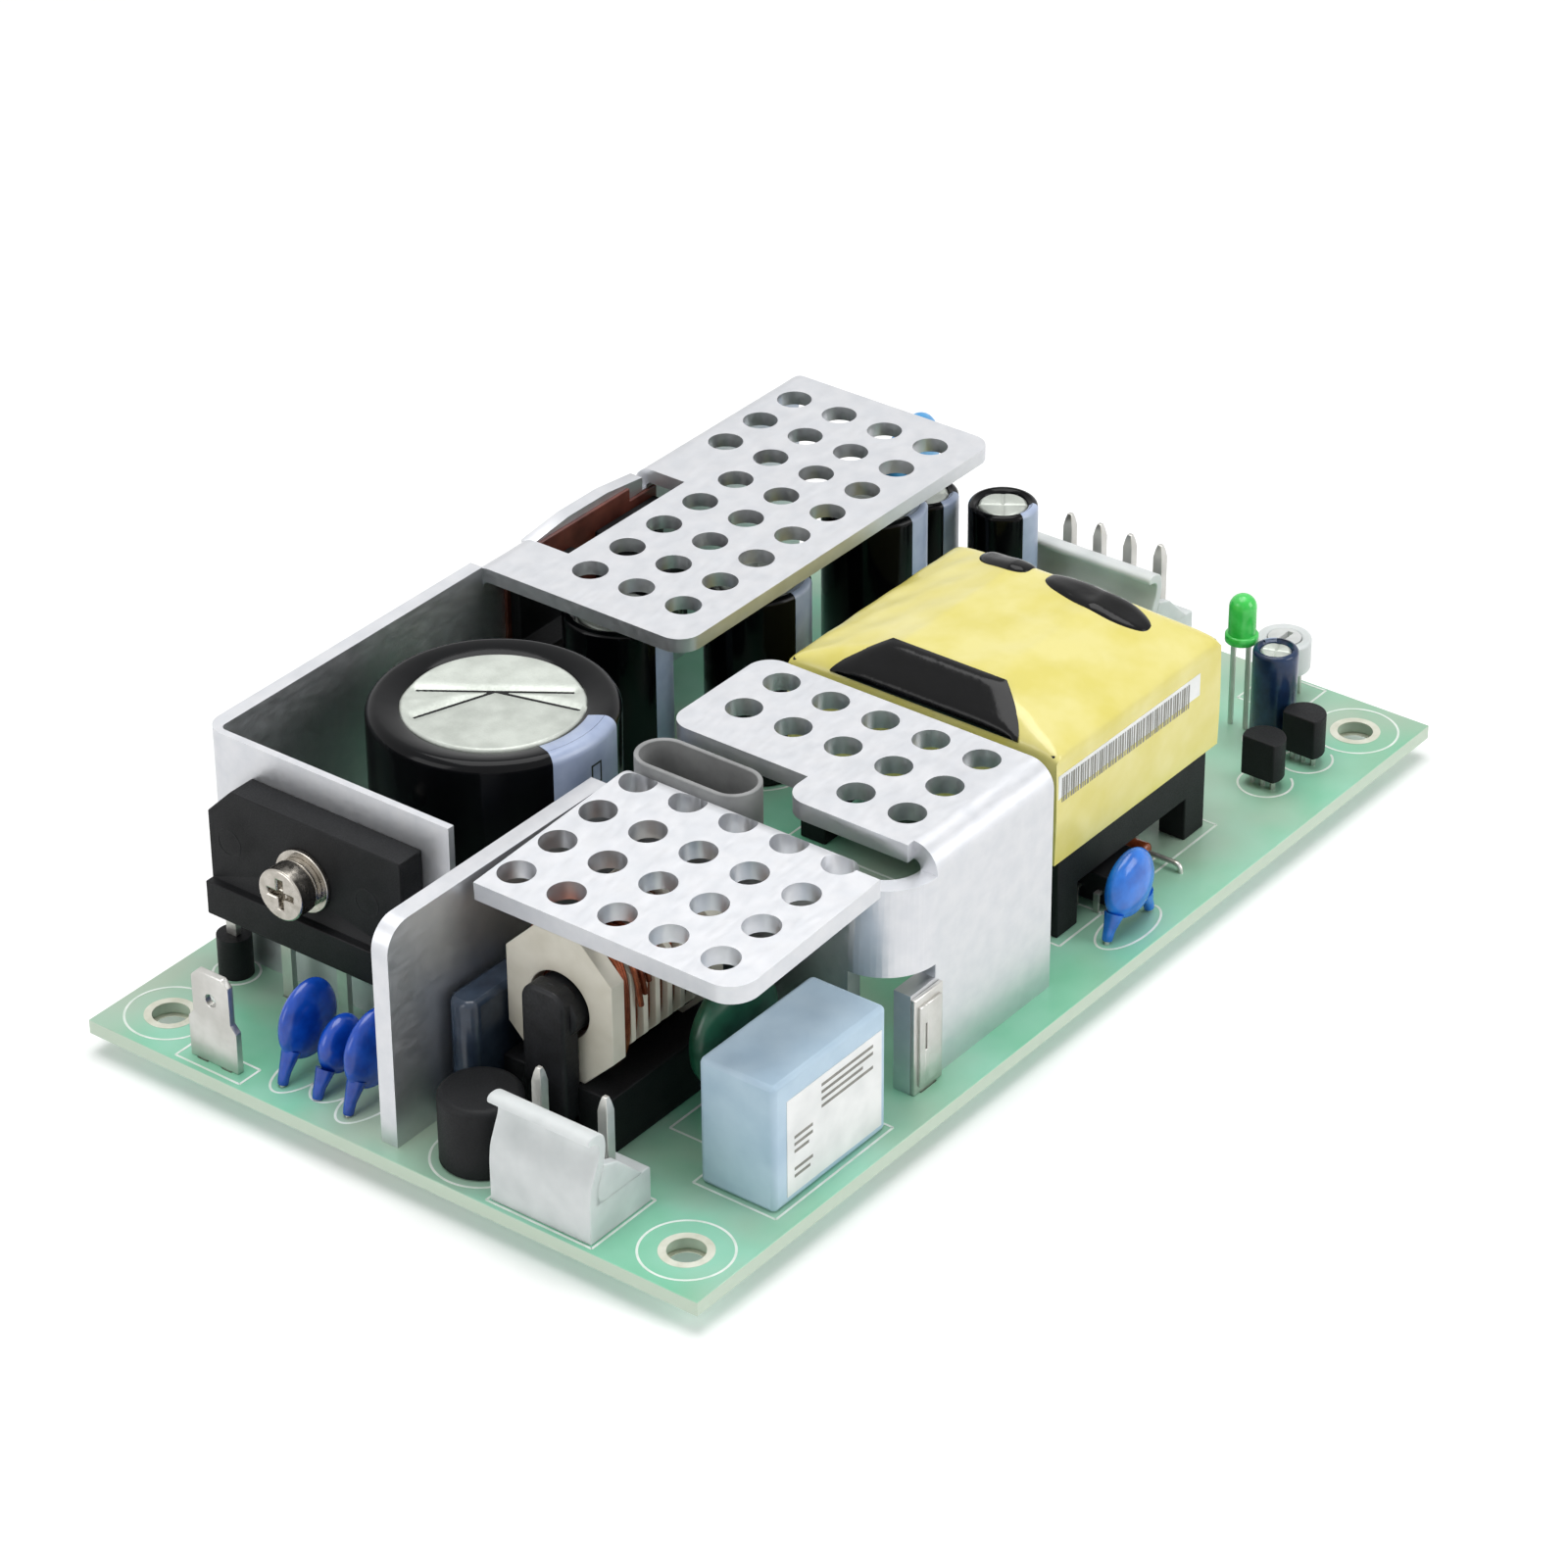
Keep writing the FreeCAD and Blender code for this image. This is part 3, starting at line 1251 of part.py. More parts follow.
trimmer_low = board_top + table.trimmer_stand
rotor_low = table.trimmer_height - table.rotor_depth
housing = cylinder("trimmer_shell", table.trimmer_diameter, table.trimmer_height,
                   (at.trimmer_x, table.trimmer_y, trimmer_low))
well = cylinder("trimmer_well", table.rotor_diameter + table.rotor_clearance * 2, table.rotor_depth,
                (at.trimmer_x, table.trimmer_y, trimmer_low + rotor_low))
cut("trimmer_body", housing, well)
rotor = cylinder("rotor_blank", table.rotor_diameter, table.rotor_depth - table.rotor_clearance,
                 (at.trimmer_x, table.trimmer_y, trimmer_low + rotor_low + table.rotor_clearance))
slot_depth = table.rotor_depth / 2
slot = box("rotor_slot_box", (table.rotor_diameter * 0.7, table.rotor_slot, slot_depth),
           (at.trimmer_x - table.rotor_diameter * 0.35, table.trimmer_y - table.rotor_slot / 2,
            trimmer_low + table.trimmer_height - slot_depth))
cut("trimmer_rotor", rotor, slot)
group("trimmer_leads", [
    lead(f"trimmer_lead_{n}", trimmer_low, (at.trimmer_x + dx * table.package_lead_pitch / 2,
                                            table.trimmer_y + dy * table.package_lead_pitch / 2, board_top))
    for n, (dx, dy) in enumerate([(-1, 0), (1, -1), (1, 1)])])

# Small transistors, isolators and the glass diode near the side edge

small_bodies = []
small_leads = []
for n, (x, y) in enumerate([(at.first_transistor_x, table.first_transistor_y),
                            (at.second_transistor_x, table.second_transistor_y)]):
    low = board_top + table.transistor_stand
    round_part = cylinder(f"small_transistor_round_{n}", table.transistor_diameter, table.transistor_height, (x, y, low))
    face = table.transistor_diameter / 2 - table.transistor_flat
    flat = box(f"small_transistor_flat_{n}",
               (table.transistor_flat, table.transistor_diameter, table.transistor_height),
               (x - face - table.transistor_flat, y - table.transistor_diameter / 2, low))
    small_bodies.append(cut(f"small_transistor_{n}", round_part, flat))
    for k in (-1, 0, 1):
        small_leads.append(lead(f"small_lead_{n}_{k + 1}", low, (x, y + table.package_lead_pitch / 2 * k, board_top)))
group("small_transistors", small_bodies)
group("small_transistor_leads", small_leads)

isolators = []
isolator_leads = []
for n in range(2):
    y = table.isolator_y + table.isolator_spacing * n
    low = board_top + table.isolator_stand
    isolators.append(box(f"isolator_{n}", (table.isolator_width, table.isolator_length, table.isolator_height),
                         (at.isolator_x - table.isolator_width / 2, y - table.isolator_length / 2, low)))
    for side in (-1, 1):
        for row in (-1, 1):
            inner = at.isolator_x + side * table.isolator_width / 2
            outer = inner + side * table.lead * 1.4
            leg = new_body(f"isolator_leg_{n}_{side + 1}_{row + 1}")
            high = low + table.isolator_height / 2
            pad(leg, "XZ", y + row * table.package_lead_pitch / 2 - table.lead / 2, table.lead, [[
                (inner, high), (outer, high), (outer, board_top), (outer - side * table.lead / 2, board_top),
                (outer - side * table.lead / 2, high - table.lead / 2), (inner, high - table.lead / 2)]])
            isolator_leads.append(leg)
group("optical_isolators", isolators)
group("isolator_leads", isolator_leads)

diode_z = board_top + table.diode_diameter / 2
cylinder("glass_diode", table.diode_diameter, table.diode_length,
         (at.diode_x, table.diode_y - table.diode_length / 2, diode_z), "y")
diode_wires = new_body("diode_wires")
for side in (-1, 1):
    inner = table.diode_y + side * table.diode_length / 2
    outer = table.diode_y + side * table.diode_span / 2
    wire = table.lead
    pad(diode_wires, "YZ", at.diode_x - wire / 2, wire, [[
        (inner, diode_z + wire / 2), (outer, diode_z + wire / 2), (outer, board_top),
        (outer - side * wire, board_top), (outer - side * wire, diode_z - wire / 2), (inner, diode_z - wire / 2)]])
disc_leads.append(diode_wires)
group("component_leads", disc_leads)

# The slots are cut last, when every pin has named its own
pocket(board_body, "XY", 0, table.board_thickness, pin_slots)

# Every node of the assembly, each written to its own file

NODES = [
    "circuit_board", "rectifier_heatsink", "switch_heatsink", "heatsink_clips", "bridge_rectifier_body",
    "bridge_rectifier_leads", "ferrite_bead", "rectifier_screw", "spring_washer", "flat_washer",
    "bulk_capacitor_can", "bulk_capacitor_sleeve", "output_capacitor_cans", "output_capacitor_sleeves",
    "slim_capacitor_cans", "slim_capacitor_sleeves", "small_capacitor_can", "small_capacitor_sleeve",
    "switching_transistor", "silicone_tube", "insulating_pad", "output_rectifiers", "rectifier_clamp",
    "clamp_screw", "transformer_core", "transformer_winding", "transformer_tape", "transformer_bobbin",
    "transformer_pins", "choke_bobbin", "choke_winding", "choke_core", "choke_base", "fuse", "film_capacitor",
    "suppressor_capacitor", "input_disc_capacitors", "side_disc_capacitor", "far_disc_capacitor", "varistor",
    "component_leads", "input_header_housing", "input_header_pins", "output_header_housing",
    "output_header_pins", "ground_tab", "indicator", "indicator_leads", "trimmer_body", "trimmer_rotor",
    "trimmer_leads", "small_transistors", "small_transistor_leads", "optical_isolators", "isolator_leads",
    "glass_diode",
]

DOC.recompute()
SHAPELESS = ("Sketcher::SketchObject", "PartDesign::LinearPattern")
for item in DOC.Objects:
    if "Invalid" in item.State or "Error" in item.State:
        raise ValueError(f"{item.Name} did not rebuild: {item.State}")
    if hasattr(item, "Shape") and item.TypeId not in SHAPELESS:
        if item.Shape.isNull() or not item.Shape.isValid():
            raise ValueError(f"{item.Name} has no valid shape")
os.makedirs("parts", exist_ok=True)
for name in NODES:
    node = DOC.getObject(name)
    node.Label = name
    node.Shape.exportStep(f"parts/{name}.step")
    print(f"{name}: {len(node.Shape.Solids)} solids, {node.Shape.Volume:.1f} cubic millimetres")
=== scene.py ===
# %% [markdown]
# # Open frame power supply
# This part is a bare power supply: a circuit board that carries two folded aluminium heatsinks, a taped
# transformer, a choke, capacitors and two wafer headers. The CAD model already has every piece at its
# true size and place. Here it gets its looks: fine shapes such as wound wire and rolled can rims, and
# materials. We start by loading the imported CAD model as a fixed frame, because every new piece is placed
# from it.

# %% Load the frame
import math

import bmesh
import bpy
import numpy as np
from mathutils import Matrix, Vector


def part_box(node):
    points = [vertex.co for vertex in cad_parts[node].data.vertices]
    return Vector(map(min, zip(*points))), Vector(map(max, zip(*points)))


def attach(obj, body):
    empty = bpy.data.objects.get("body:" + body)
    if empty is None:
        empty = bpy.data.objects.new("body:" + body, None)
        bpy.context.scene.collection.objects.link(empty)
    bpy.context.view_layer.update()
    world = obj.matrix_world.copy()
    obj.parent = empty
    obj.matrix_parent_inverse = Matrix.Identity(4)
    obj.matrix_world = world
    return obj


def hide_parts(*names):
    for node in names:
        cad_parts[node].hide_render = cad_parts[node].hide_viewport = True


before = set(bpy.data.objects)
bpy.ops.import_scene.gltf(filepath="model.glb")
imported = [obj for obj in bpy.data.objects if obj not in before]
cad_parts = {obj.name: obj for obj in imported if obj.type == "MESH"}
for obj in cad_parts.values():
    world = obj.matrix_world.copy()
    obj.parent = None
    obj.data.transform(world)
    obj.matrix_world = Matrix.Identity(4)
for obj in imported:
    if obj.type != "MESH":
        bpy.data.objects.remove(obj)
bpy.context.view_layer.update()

# %% [markdown]
# ## Units
# Blender measures in metres, but a part like this is easier to think of in millimetres. MM is one
# millimetre, so a length is written as so many times MM. Most shapes below are worked out in millimetres
# and made metres at the end. The top of the board is measured now, before anything is added.

MM = 0.001
BOARD_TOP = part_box("circuit_board")[1].z
BODY = "supply"
print("board top", round(BOARD_TOP / MM, 3), "mm, nodes", len(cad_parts))

# %% [markdown]
# ## Surfaces from numpy
# Nearly every piece is either a grid of points bent into a shape, a profile turned about an axis, or a
# section carried along a path. Each could be modelled by hand, but a formula keeps its sizes in view and
# can be changed in one place. A shape is kept as a pair: an array of points and a list of faces. Shapes
# can then be joined before they become one Blender object, which keeps the number of objects small.


# %% Grids and joined shapes
def grid(points, wrap_u=False, wrap_v=False):
    """A grid of points (rows, columns, 3) with a quad between each four neighbours.

    wrap_u joins the last row to the first, wrap_v the last column to the first. With wrap_v and open
    rows, the first and last rows are closed by a cap, so the shape is a closed solid.
    """
    rows, columns = points.shape[:2]
    index = np.arange(rows * columns).reshape(rows, columns)
    low = index if wrap_u else index[:-1]
    high = np.roll(index, -1, axis=0) if wrap_u else index[1:]
    if wrap_v:
        left_low, right_low, left_high, right_high = low, np.roll(low, -1, 1), high, np.roll(high, -1, 1)
    else:
        left_low, right_low, left_high, right_high = low[:, :-1], low[:, 1:], high[:, :-1], high[:, 1:]
    quads = np.stack([left_low, right_low, right_high, left_high], axis=-1).reshape(-1, 4)
    faces = quads.tolist()
    if wrap_v and not wrap_u:
        faces += [index[0][::-1].tolist(), index[-1].tolist()]
    return points.reshape(-1, 3), faces


def join(*shapes):
    """Several shapes as one: each one's face numbers move up by the points that come before it."""
    points, faces, start = [], [], 0
    for shape_points, shape_faces in shapes:
        points.append(shape_points)
        faces += [[start + number for number in face] for face in shape_faces]
        start += len(shape_points)
    return np.concatenate(points), faces


print("faces of a 3 by 3 grid", len(grid(np.zeros((3, 3, 3)))[1]))


# %% [markdown]
# Cans, sleeves and domes are round. A Screw modifier could turn their profile too, but written as arrays
# it is one short formula: every point of the profile goes round the axis, and all points are found at
# once.


# %% Lathe
def lathe(profile, centre=(0, 0, 0), axis="z", segments=64):
    """A profile of (radius, height) points turned about an axis: (r cos a, r sin a, h) all round."""
    profile = np.asarray(profile, float)
    angle = np.linspace(0, 2 * np.pi, segments, endpoint=False)
    radius, height = profile[:, :1], profile[:, 1:] + 0 * angle
    across, up = radius * np.cos(angle), radius * np.sin(angle)
    order = {"z": (across, up, height), "x": (height, across, up), "y": (up, height, across)}[axis]
    return grid(np.stack(order, axis=-1) + np.asarray(centre, float), wrap_v=True)


print("points of a turned edge", len(lathe([(1, 0), (1, 1)], segments=8)[0]))


# %% [markdown]
# ## Turning shapes into pieces
# A piece gets smooth shading with sharp edges where its faces meet at a steep angle, a small bevel where
# the real edge is rounded, a material, and the CAD body that it moves with. Doubled points are merged
# and the faces turned outwards before that, so no formula above has to care which way round its faces
# run.


# %% Pieces
def add_piece(name, shape, material, replaces=(), body=BODY, bevel=0.0, sharp=40):
    """One object from a shape, riding on a CAD body and standing for the nodes in replaces."""
    points, faces = shape
    mesh = bpy.data.meshes.new(name)
    mesh.from_pydata(points.tolist(), [], faces)
    mesh.validate()
    return add_object(name, mesh, material, replaces, body, bevel, sharp)


def add_object(name, mesh, material, replaces, body, bevel, sharp):
    """Gives a mesh its shading, bevel, material and body, and hides the nodes that it replaces."""
    bm = bmesh.new()
    bm.from_mesh(mesh)
    bmesh.ops.remove_doubles(bm, verts=bm.verts, dist=1e-6)
    bmesh.ops.recalc_face_normals(bm, faces=bm.faces)
    bm.to_mesh(mesh)
    bm.free()
    mesh.shade_smooth()
    mesh.set_sharp_from_angle(angle=math.radians(sharp))
    piece = bpy.data.objects.new(name, mesh)
    bpy.context.scene.collection.objects.link(piece)
    if bevel:
        edge = piece.modifiers.new("soft edge", "BEVEL")
        edge.width = bevel
        edge.segments = 2
        edge.limit_method = "ANGLE"
        edge.angle_limit = math.radians(sharp)
        edge.harden_normals = False
    mesh.materials.clear()
    mesh.materials.append(material)
    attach(piece, body)
    if replaces:
        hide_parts(*replaces)
    return piece


print("nodes to dress", len(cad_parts))


# %% [markdown]
# ## Materials
# Every finish is built from a Principled shader with patterns on Object coordinates, which are in metres
# and fixed to the part. A helper adds one node at a time. Colours are written as they look on a screen,
# so one function turns them from sRGB to linear light.


# %% Colours and nodes
def linear(code):
    """A hex colour such as #808080 as linear red, green, blue and alpha."""
    screen = np.array([int(code[n:n + 2], 16) for n in (1, 3, 5)]) / 255
    light = np.where(screen <= 0.04045, screen / 12.92, ((screen + 0.055) / 1.055) ** 2.4)
    return (*light.tolist(), 1.0)


def add_node(tree, kind, settings=(), links=()):
    """Adds a node. A setting is a socket's name or number, or else a property, with its value."""
    node = tree.nodes.new(kind)
    for name, value in dict(settings).items():
        if isinstance(name, int) or name in node.inputs:
            node.inputs[name].default_value = value
        else:
            setattr(node, name, value)
    for name, source in dict(links).items():
        tree.links.new(source, node.inputs[name])
    return node


print("middle grey in linear light", round(linear("#808080")[0], 3))


# %% [markdown]
# A number that is the same all over a piece is set on the shader's own socket. What varies is noise:
# slow noise for the colour, which never is quite even on a real part, and fine noise for a surface that
# isn't quite flat.


# %% Plain finish, drifting tones and grain
def new_finish(name, code, roughness, **sockets):
    """A material with one Principled shader, its colour and its sockets set directly."""
    material = bpy.data.materials.new(name)
    material.use_nodes = True
    shader = material.node_tree.nodes["Principled BSDF"]
    shader.inputs["Base Color"].default_value = linear(code)
    shader.inputs["Roughness"].default_value = roughness
    for socket, value in sockets.items():
        shader.inputs[socket.replace("_", " ")].default_value = value
    return material


def add_noise(tree, size, detail, stretch):
    """Noise with features of about the given size, on Object coordinates."""
    place = add_node(tree, "ShaderNodeTexCoord")
    mapping = add_node(tree, "ShaderNodeMapping", {"Scale": stretch},
                       {"Vector": place.outputs["Object"]})
    noise = add_node(tree, "ShaderNodeTexNoise", {"Scale": 1 / size, "Detail": detail},
                     {"Vector": mapping.outputs["Vector"]})
    return noise.outputs["Fac"]


def mottle(material, dark, light, size, detail=3.0, stretch=(1, 1, 1)):
    """Colour that drifts between two tones over patches of about the given size."""
    tree = material.node_tree
    level = add_node(tree, "ShaderNodeMapRange", {"From Min": 0.35, "From Max": 0.65},
                     {"Value": add_noise(tree, size, detail, stretch)})
    mix = add_node(tree, "ShaderNodeMixRGB", {"Color1": linear(dark), "Color2": linear(light)},
                   {"Fac": level.outputs["Result"]})
    tree.links.new(mix.outputs["Color"], tree.nodes["Principled BSDF"].inputs["Base Color"])
    return mix


def grain(material, size, depth, detail=4.0, stretch=(1, 1, 1), low=None, high=None):
    """A fine uneven surface: noise of the given size as bump, and as roughness from low to high."""
    tree = material.node_tree
    shader = tree.nodes["Principled BSDF"]
    noise = add_noise(tree, size, detail, stretch)
    bump = add_node(tree, "ShaderNodeBump", {"Distance": depth, "Strength": 1.0}, {"Height": noise})
    tree.links.new(bump.outputs["Normal"], shader.inputs["Normal"])
    if low is not None:
        spread = add_node(tree, "ShaderNodeMapRange",
                          {"From Min": 0.3, "From Max": 0.7, "To Min": low, "To Max": high},
                          {"Value": noise})
        tree.links.new(spread.outputs["Result"], shader.inputs["Roughness"])


# %% [markdown]
# ## The finishes of this part
# An image for each finish would need unwrapped pieces and would blur from close by. Noise has no seams
# and keeps its size in millimetres on every piece. So each finish is one call: its colour and roughness,
# the two tones that it drifts between, the size of the drift, and its grain as size and depth, all in
# millimetres.


# %% A finish from tones and grain
def make_finish(name, code, roughness, tones, patch, skin=None, detail=3.0, **sockets):
    """A finish with two tones over patches, and a skin of (size, depth, further words for grain)."""
    material = new_finish(name, code, roughness, **sockets)
    mottle(material, *tones, patch * MM, detail)
    if skin:
        grain(material, skin[0] * MM, skin[1] * MM, **skin[2])
    return material


print("finishes so far", len(bpy.data.materials))

# %% [markdown]
# The metals come first. They keep Blender's own IOR, and their roughness tells them apart: rolled sheet
# blurs what it reflects, tin plate is softer than nickel plate, and solder is the brightest.

# %% Metals
# Bare rolled sheet: pale, with blurred reflections and faint streaks along the sheet.
aluminium = make_finish("rolled aluminium sheet", "#ced0d3", 0.4, ("#cbcdd1", "#d2d3d6"), 2,
                        (0.6, 0.005, dict(detail=6, stretch=(0.3, 1, 1), low=0.37, high=0.46)),
                        detail=7, Metallic=0.95)
# Etched can: a frosted bloom that stays pale from every side, so it is only half metallic.
can_top = make_finish("etched capacitor can", "#b9beb8", 0.5, ("#b0b5ae", "#c2c7c0"), 2.5,
                      (0.25, 0.02, dict(low=0.42, high=0.62)), detail=5, Metallic=0.5)
# Tin plate: a soft, slightly warm mirror with uneven gloss.
tinned = make_finish("tin plated steel", "#c4c3be", 0.32, ("#bcbbb6", "#cdccc8"), 3,
                     (0.4, 0.01, dict(low=0.28, high=0.42)), Metallic=0.9)
# Nickel plate: a sharper and yellower mirror, which makes the screws stand out.
nickel = make_finish("nickel plated steel", "#b3aea6", 0.22, ("#aaa59c", "#bdb8b0"), 1.0,
                     (0.6, 0.003, dict(low=0.16, high=0.3)), Metallic=1.0)
# Enamelled wire: clear enamel turns the copper red brown and gives it a wet gloss.
copper = make_finish("enamelled copper wire", "#944c2f", 0.24, ("#84412a", "#a35c3d"), 1.2,
                     (0.5, 0.006, {}), Metallic=0.75)
# Solder: small bright beads with a few dull spots.
solder = make_finish("solder", "#c4c6c8", 0.2, ("#b4b6b8", "#d6d8d9"), 0.8,
                     (0.6, 0.01, dict(low=0.14, high=0.3)), Metallic=0.95)
print("with metals", len(bpy.data.materials))

# %% [markdown]
# Five finishes are dark, and their gloss makes them differ: shrunk sleeves and coil film shine in long
# soft streaks, while moulded epoxy and ferrite are matte. A lower specular level keeps them deep in
# bright light.

# %% Sleeves, moulded epoxy, ferrite and coil film
# Heat-shrunk PVC: nearly black, with a long gleam that waves where the sleeve shrank unevenly.
sleeve_black = make_finish("heat-shrunk black sleeve", "#060709", 0.14, ("#050608", "#08090c"), 4,
                           (3, 0.03, dict(detail=1.5)), Specular_IOR_Level=0.14)
sleeve_blue = make_finish("dark blue sleeve", "#1a2f50", 0.2, ("#162846", "#20395e"), 2,
                          (2, 0.02, dict(detail=1.5)), Specular_IOR_Level=0.35)
# Moulded epoxy: a fine spark-worn grit from the mould, which spreads the highlight.
epoxy_black = make_finish("moulded black epoxy", "#101113", 0.5, ("#0d0e10", "#151618"), 3,
                          (0.16, 0.012, dict(low=0.48, high=0.66)), Specular_IOR_Level=0.22)
# Sintered ferrite: pressed powder, so it is satin and faintly speckled.
ferrite = make_finish("sintered ferrite", "#121315", 0.4, ("#0f1012", "#18191c"), 1.5,
                      (0.3, 0.015, dict(low=0.38, high=0.6)), Specular_IOR_Level=0.3)
# Coil insulation: a tight black film whose wrinkles bend the highlights.
coil_black = make_finish("black coil insulation", "#070708", 0.16, ("#060607", "#0a0a0c"), 2,
                         (1.5, 0.04, dict(detail=2)), Specular_IOR_Level=0.2)
print("with dark finishes", len(bpy.data.materials))

# %% [markdown]
# The tape is glossy film, so it has a thin coat over its colour. Nylon lets some light in and glows at
# its edges, for which the shader's subsurface weight stands. Silicone has a trace of sheen, as rubber
# does.

# %% Tape, nylon and rubber
# Polyester tape: clear yellow film that shows broad, soft waves.
tape_yellow = make_finish("polyester tape", "#e6dc84", 0.26, ("#dcd06a", "#e5db8a"), 6,
                          (5, 0.1, dict(detail=2, stretch=(0.5, 1, 1))), Coat_Weight=0.25)
# Natural nylon: milky white, with light inside it.
nylon_white = make_finish("translucent nylon", "#cfd4d4", 0.36, ("#c8cdcd", "#d7dbdb"), 4,
                          (0.5, 0.008, dict(low=0.34, high=0.48)), Subsurface_Weight=0.35,
                          Subsurface_Radius=(1, 1, 1), Subsurface_Scale=1.5 * MM)
nylon_cream = make_finish("cream nylon", "#dedacb", 0.45, ("#cbc6b6", "#dad6c8"), 4,
                          (0.5, 0.01, dict(low=0.38, high=0.52)))
nylon_grey = make_finish("pale grey nylon", "#c9cbca", 0.45, ("#c0c2c1", "#d3d5d4"), 2, (0.4, 0.01, {}))
# Silicone rubber: dull grey, with a dusty edge.
silicone = make_finish("silicone rubber", "#8d8e8e", 0.6, ("#848585", "#979898"), 3,
                       (0.4, 0.01, dict(low=0.52, high=0.68)), Sheen_Weight=0.1)
# Coated pad: a red brown film under the hot parts.
pad_brown = make_finish("coated insulating pad", "#5a2a20", 0.4, ("#4c2018", "#6b362a"), 3,
                        (0.6, 0.01, {}))
print("with plastics", len(bpy.data.materials))

# %% [markdown]
# A dipped part was drawn out of liquid resin, which set with a smooth and slightly wavy skin. So all the
# resins share a coarse, shallow grain, and only the colour changes.

# %% Resins and the moulded box
WAVY = dict(detail=1.5)
resin_slate = make_finish("dipped slate resin", "#2f3b4d", 0.24, ("#293444", "#384658"), 3,
                          (2.4, 0.05, WAVY))
resin_blue = make_finish("dipped blue resin", "#0a42a8", 0.2, ("#083a98", "#0f4cb8"), 2, (2, 0.06, WAVY),
                         Coat_Weight=0.15)
resin_bright = make_finish("dipped bright blue resin", "#1a6cd2", 0.2, ("#1461c2", "#227adf"), 2,
                           (2, 0.06, WAVY), Coat_Weight=0.15)
resin_light = make_finish("dipped light blue resin", "#4ea3dc", 0.3, ("#4297d2", "#62b0e4"), 2,
                          (2, 0.05, WAVY))
resin_green = make_finish("dipped green resin", "#174a36", 0.28, ("#123e2c", "#1e5841"), 2.5,
                          (2, 0.05, WAVY))
# The suppressor capacitor's box is moulded, so it has a fine matte grit instead.
box_blue = make_finish("pale blue box", "#b4cbdd", 0.5, ("#abc4d7", "#bed4e4"), 6,
                       (0.25, 0.012, dict(low=0.44, high=0.58)))
print("with resins", len(bpy.data.materials))

# %% [markdown]
# The last finishes are smooth ones. The indicator's lens lets light through, the diode is glass over a
# red brown body, and print lies flat on what it is printed on, so none of them needs a grain.

# %% Lens, glass and print
lens_green = make_finish("tinted lens", "#3fe05a", 0.15, ("#34d450", "#58ea70"), 2,
                         Transmission_Weight=0.25)
diode_glass = make_finish("glass diode", "#7a3318", 0.15, ("#6a2a12", "#a0512c"), 1.2)
print_blue = make_finish("pale blue print", "#a3b0cc", 0.3, ("#98a6c4", "#adbad4"), 3)
print_grey = make_finish("grey print", "#82817a", 0.5, ("#7a7972", "#8c8b84"), 2)
print_dark = make_finish("black print", "#101114", 0.35, ("#0c0d0f", "#16181c"), 2)
label_white = make_finish("white paper label", "#e9ebea", 0.55, ("#e2e4e3", "#f0f1f0"), 4)
print("finishes", len(bpy.data.materials))

# %% [markdown]
# ## Finishes for the pieces
# Each CAD node first gets its finish. Those whose shape is right keep it, and the rest are replaced
# below.


# %% Paint the CAD nodes
def paint(node, material):
    """Gives a CAD node its material."""
    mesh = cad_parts[node].data
    mesh.materials.clear()
    mesh.materials.append(material)


FINISHES = {
    aluminium: "rectifier_heatsink switch_heatsink",
    tinned: "heatsink_clips bridge_rectifier_leads transformer_pins component_leads input_header_pins "
            "output_header_pins ground_tab indicator_leads trimmer_leads small_transistor_leads "
            "isolator_leads",
    epoxy_black: "bridge_rectifier_body switching_transistor output_rectifiers transformer_bobbin "
                 "choke_base fuse small_transistors optical_isolators",
    ferrite: "ferrite_bead transformer_core choke_core",
    nickel: "rectifier_screw spring_washer flat_washer rectifier_clamp clamp_screw",
    can_top: "bulk_capacitor_can output_capacitor_cans slim_capacitor_cans small_capacitor_can",
    sleeve_black: "bulk_capacitor_sleeve output_capacitor_sleeves slim_capacitor_sleeves",
    sleeve_blue: "small_capacitor_sleeve",
    silicone: "silicone_tube",
    pad_brown: "insulating_pad",
    coil_black: "transformer_winding",
    tape_yellow: "transformer_tape",
    nylon_cream: "choke_bobbin",
    copper: "choke_winding",
    resin_slate: "film_capacitor",
    box_blue: "suppressor_capacitor",
    resin_blue: "input_disc_capacitors",
    resin_bright: "side_disc_capacitor",
    resin_light: "far_disc_capacitor",
    resin_green: "varistor",
    nylon_white: "input_header_housing output_header_housing trimmer_body",
    nylon_grey: "trimmer_rotor",
    lens_green: "indicator",
    diode_glass: "glass_diode",
}
for finish, names in FINISHES.items():
    for node in names.split():
        paint(node, finish)
print("painted nodes", sum(len(names.split()) for names in FINISHES.values()))

# %% [markdown]
# Two more tools are needed often. A section turned through part of a circle makes printed stripes and
# rings, and an arc of points rounds the edge of a profile. Both are plain circles, so cosine and sine
# are enough.


# %% Turned sections and arcs
def turned(section, centre, start=0.0, end=360.0, steps=96):
    """A closed section of (radius, height) points turned about Z between two angles in degrees."""
    section = np.asarray(section, float)
    whole = abs(end - start) >= 360
    angle = np.radians(np.linspace(start, end, steps, endpoint=not whole))[:, None]
    radius, height = section[:, 0], section[:, 1] + 0 * angle
    points = np.stack([radius * np.cos(angle), radius * np.sin(angle), height], axis=-1)
    return grid(points + np.asarray(centre, float), wrap_u=whole, wrap_v=True)


def arc(centre, radius, start, end, steps=6):
    """Points on a circular arc in a plane, from one angle to another, in degrees."""
    angle = np.radians(np.linspace(start, end, steps))
    return np.stack([centre[0] + radius * np.cos(angle), centre[1] + radius * np.sin(angle)], axis=-1)


print("a quarter of a circle", np.round(arc((0, 0), 1, 0, 90, 3), 2).tolist())


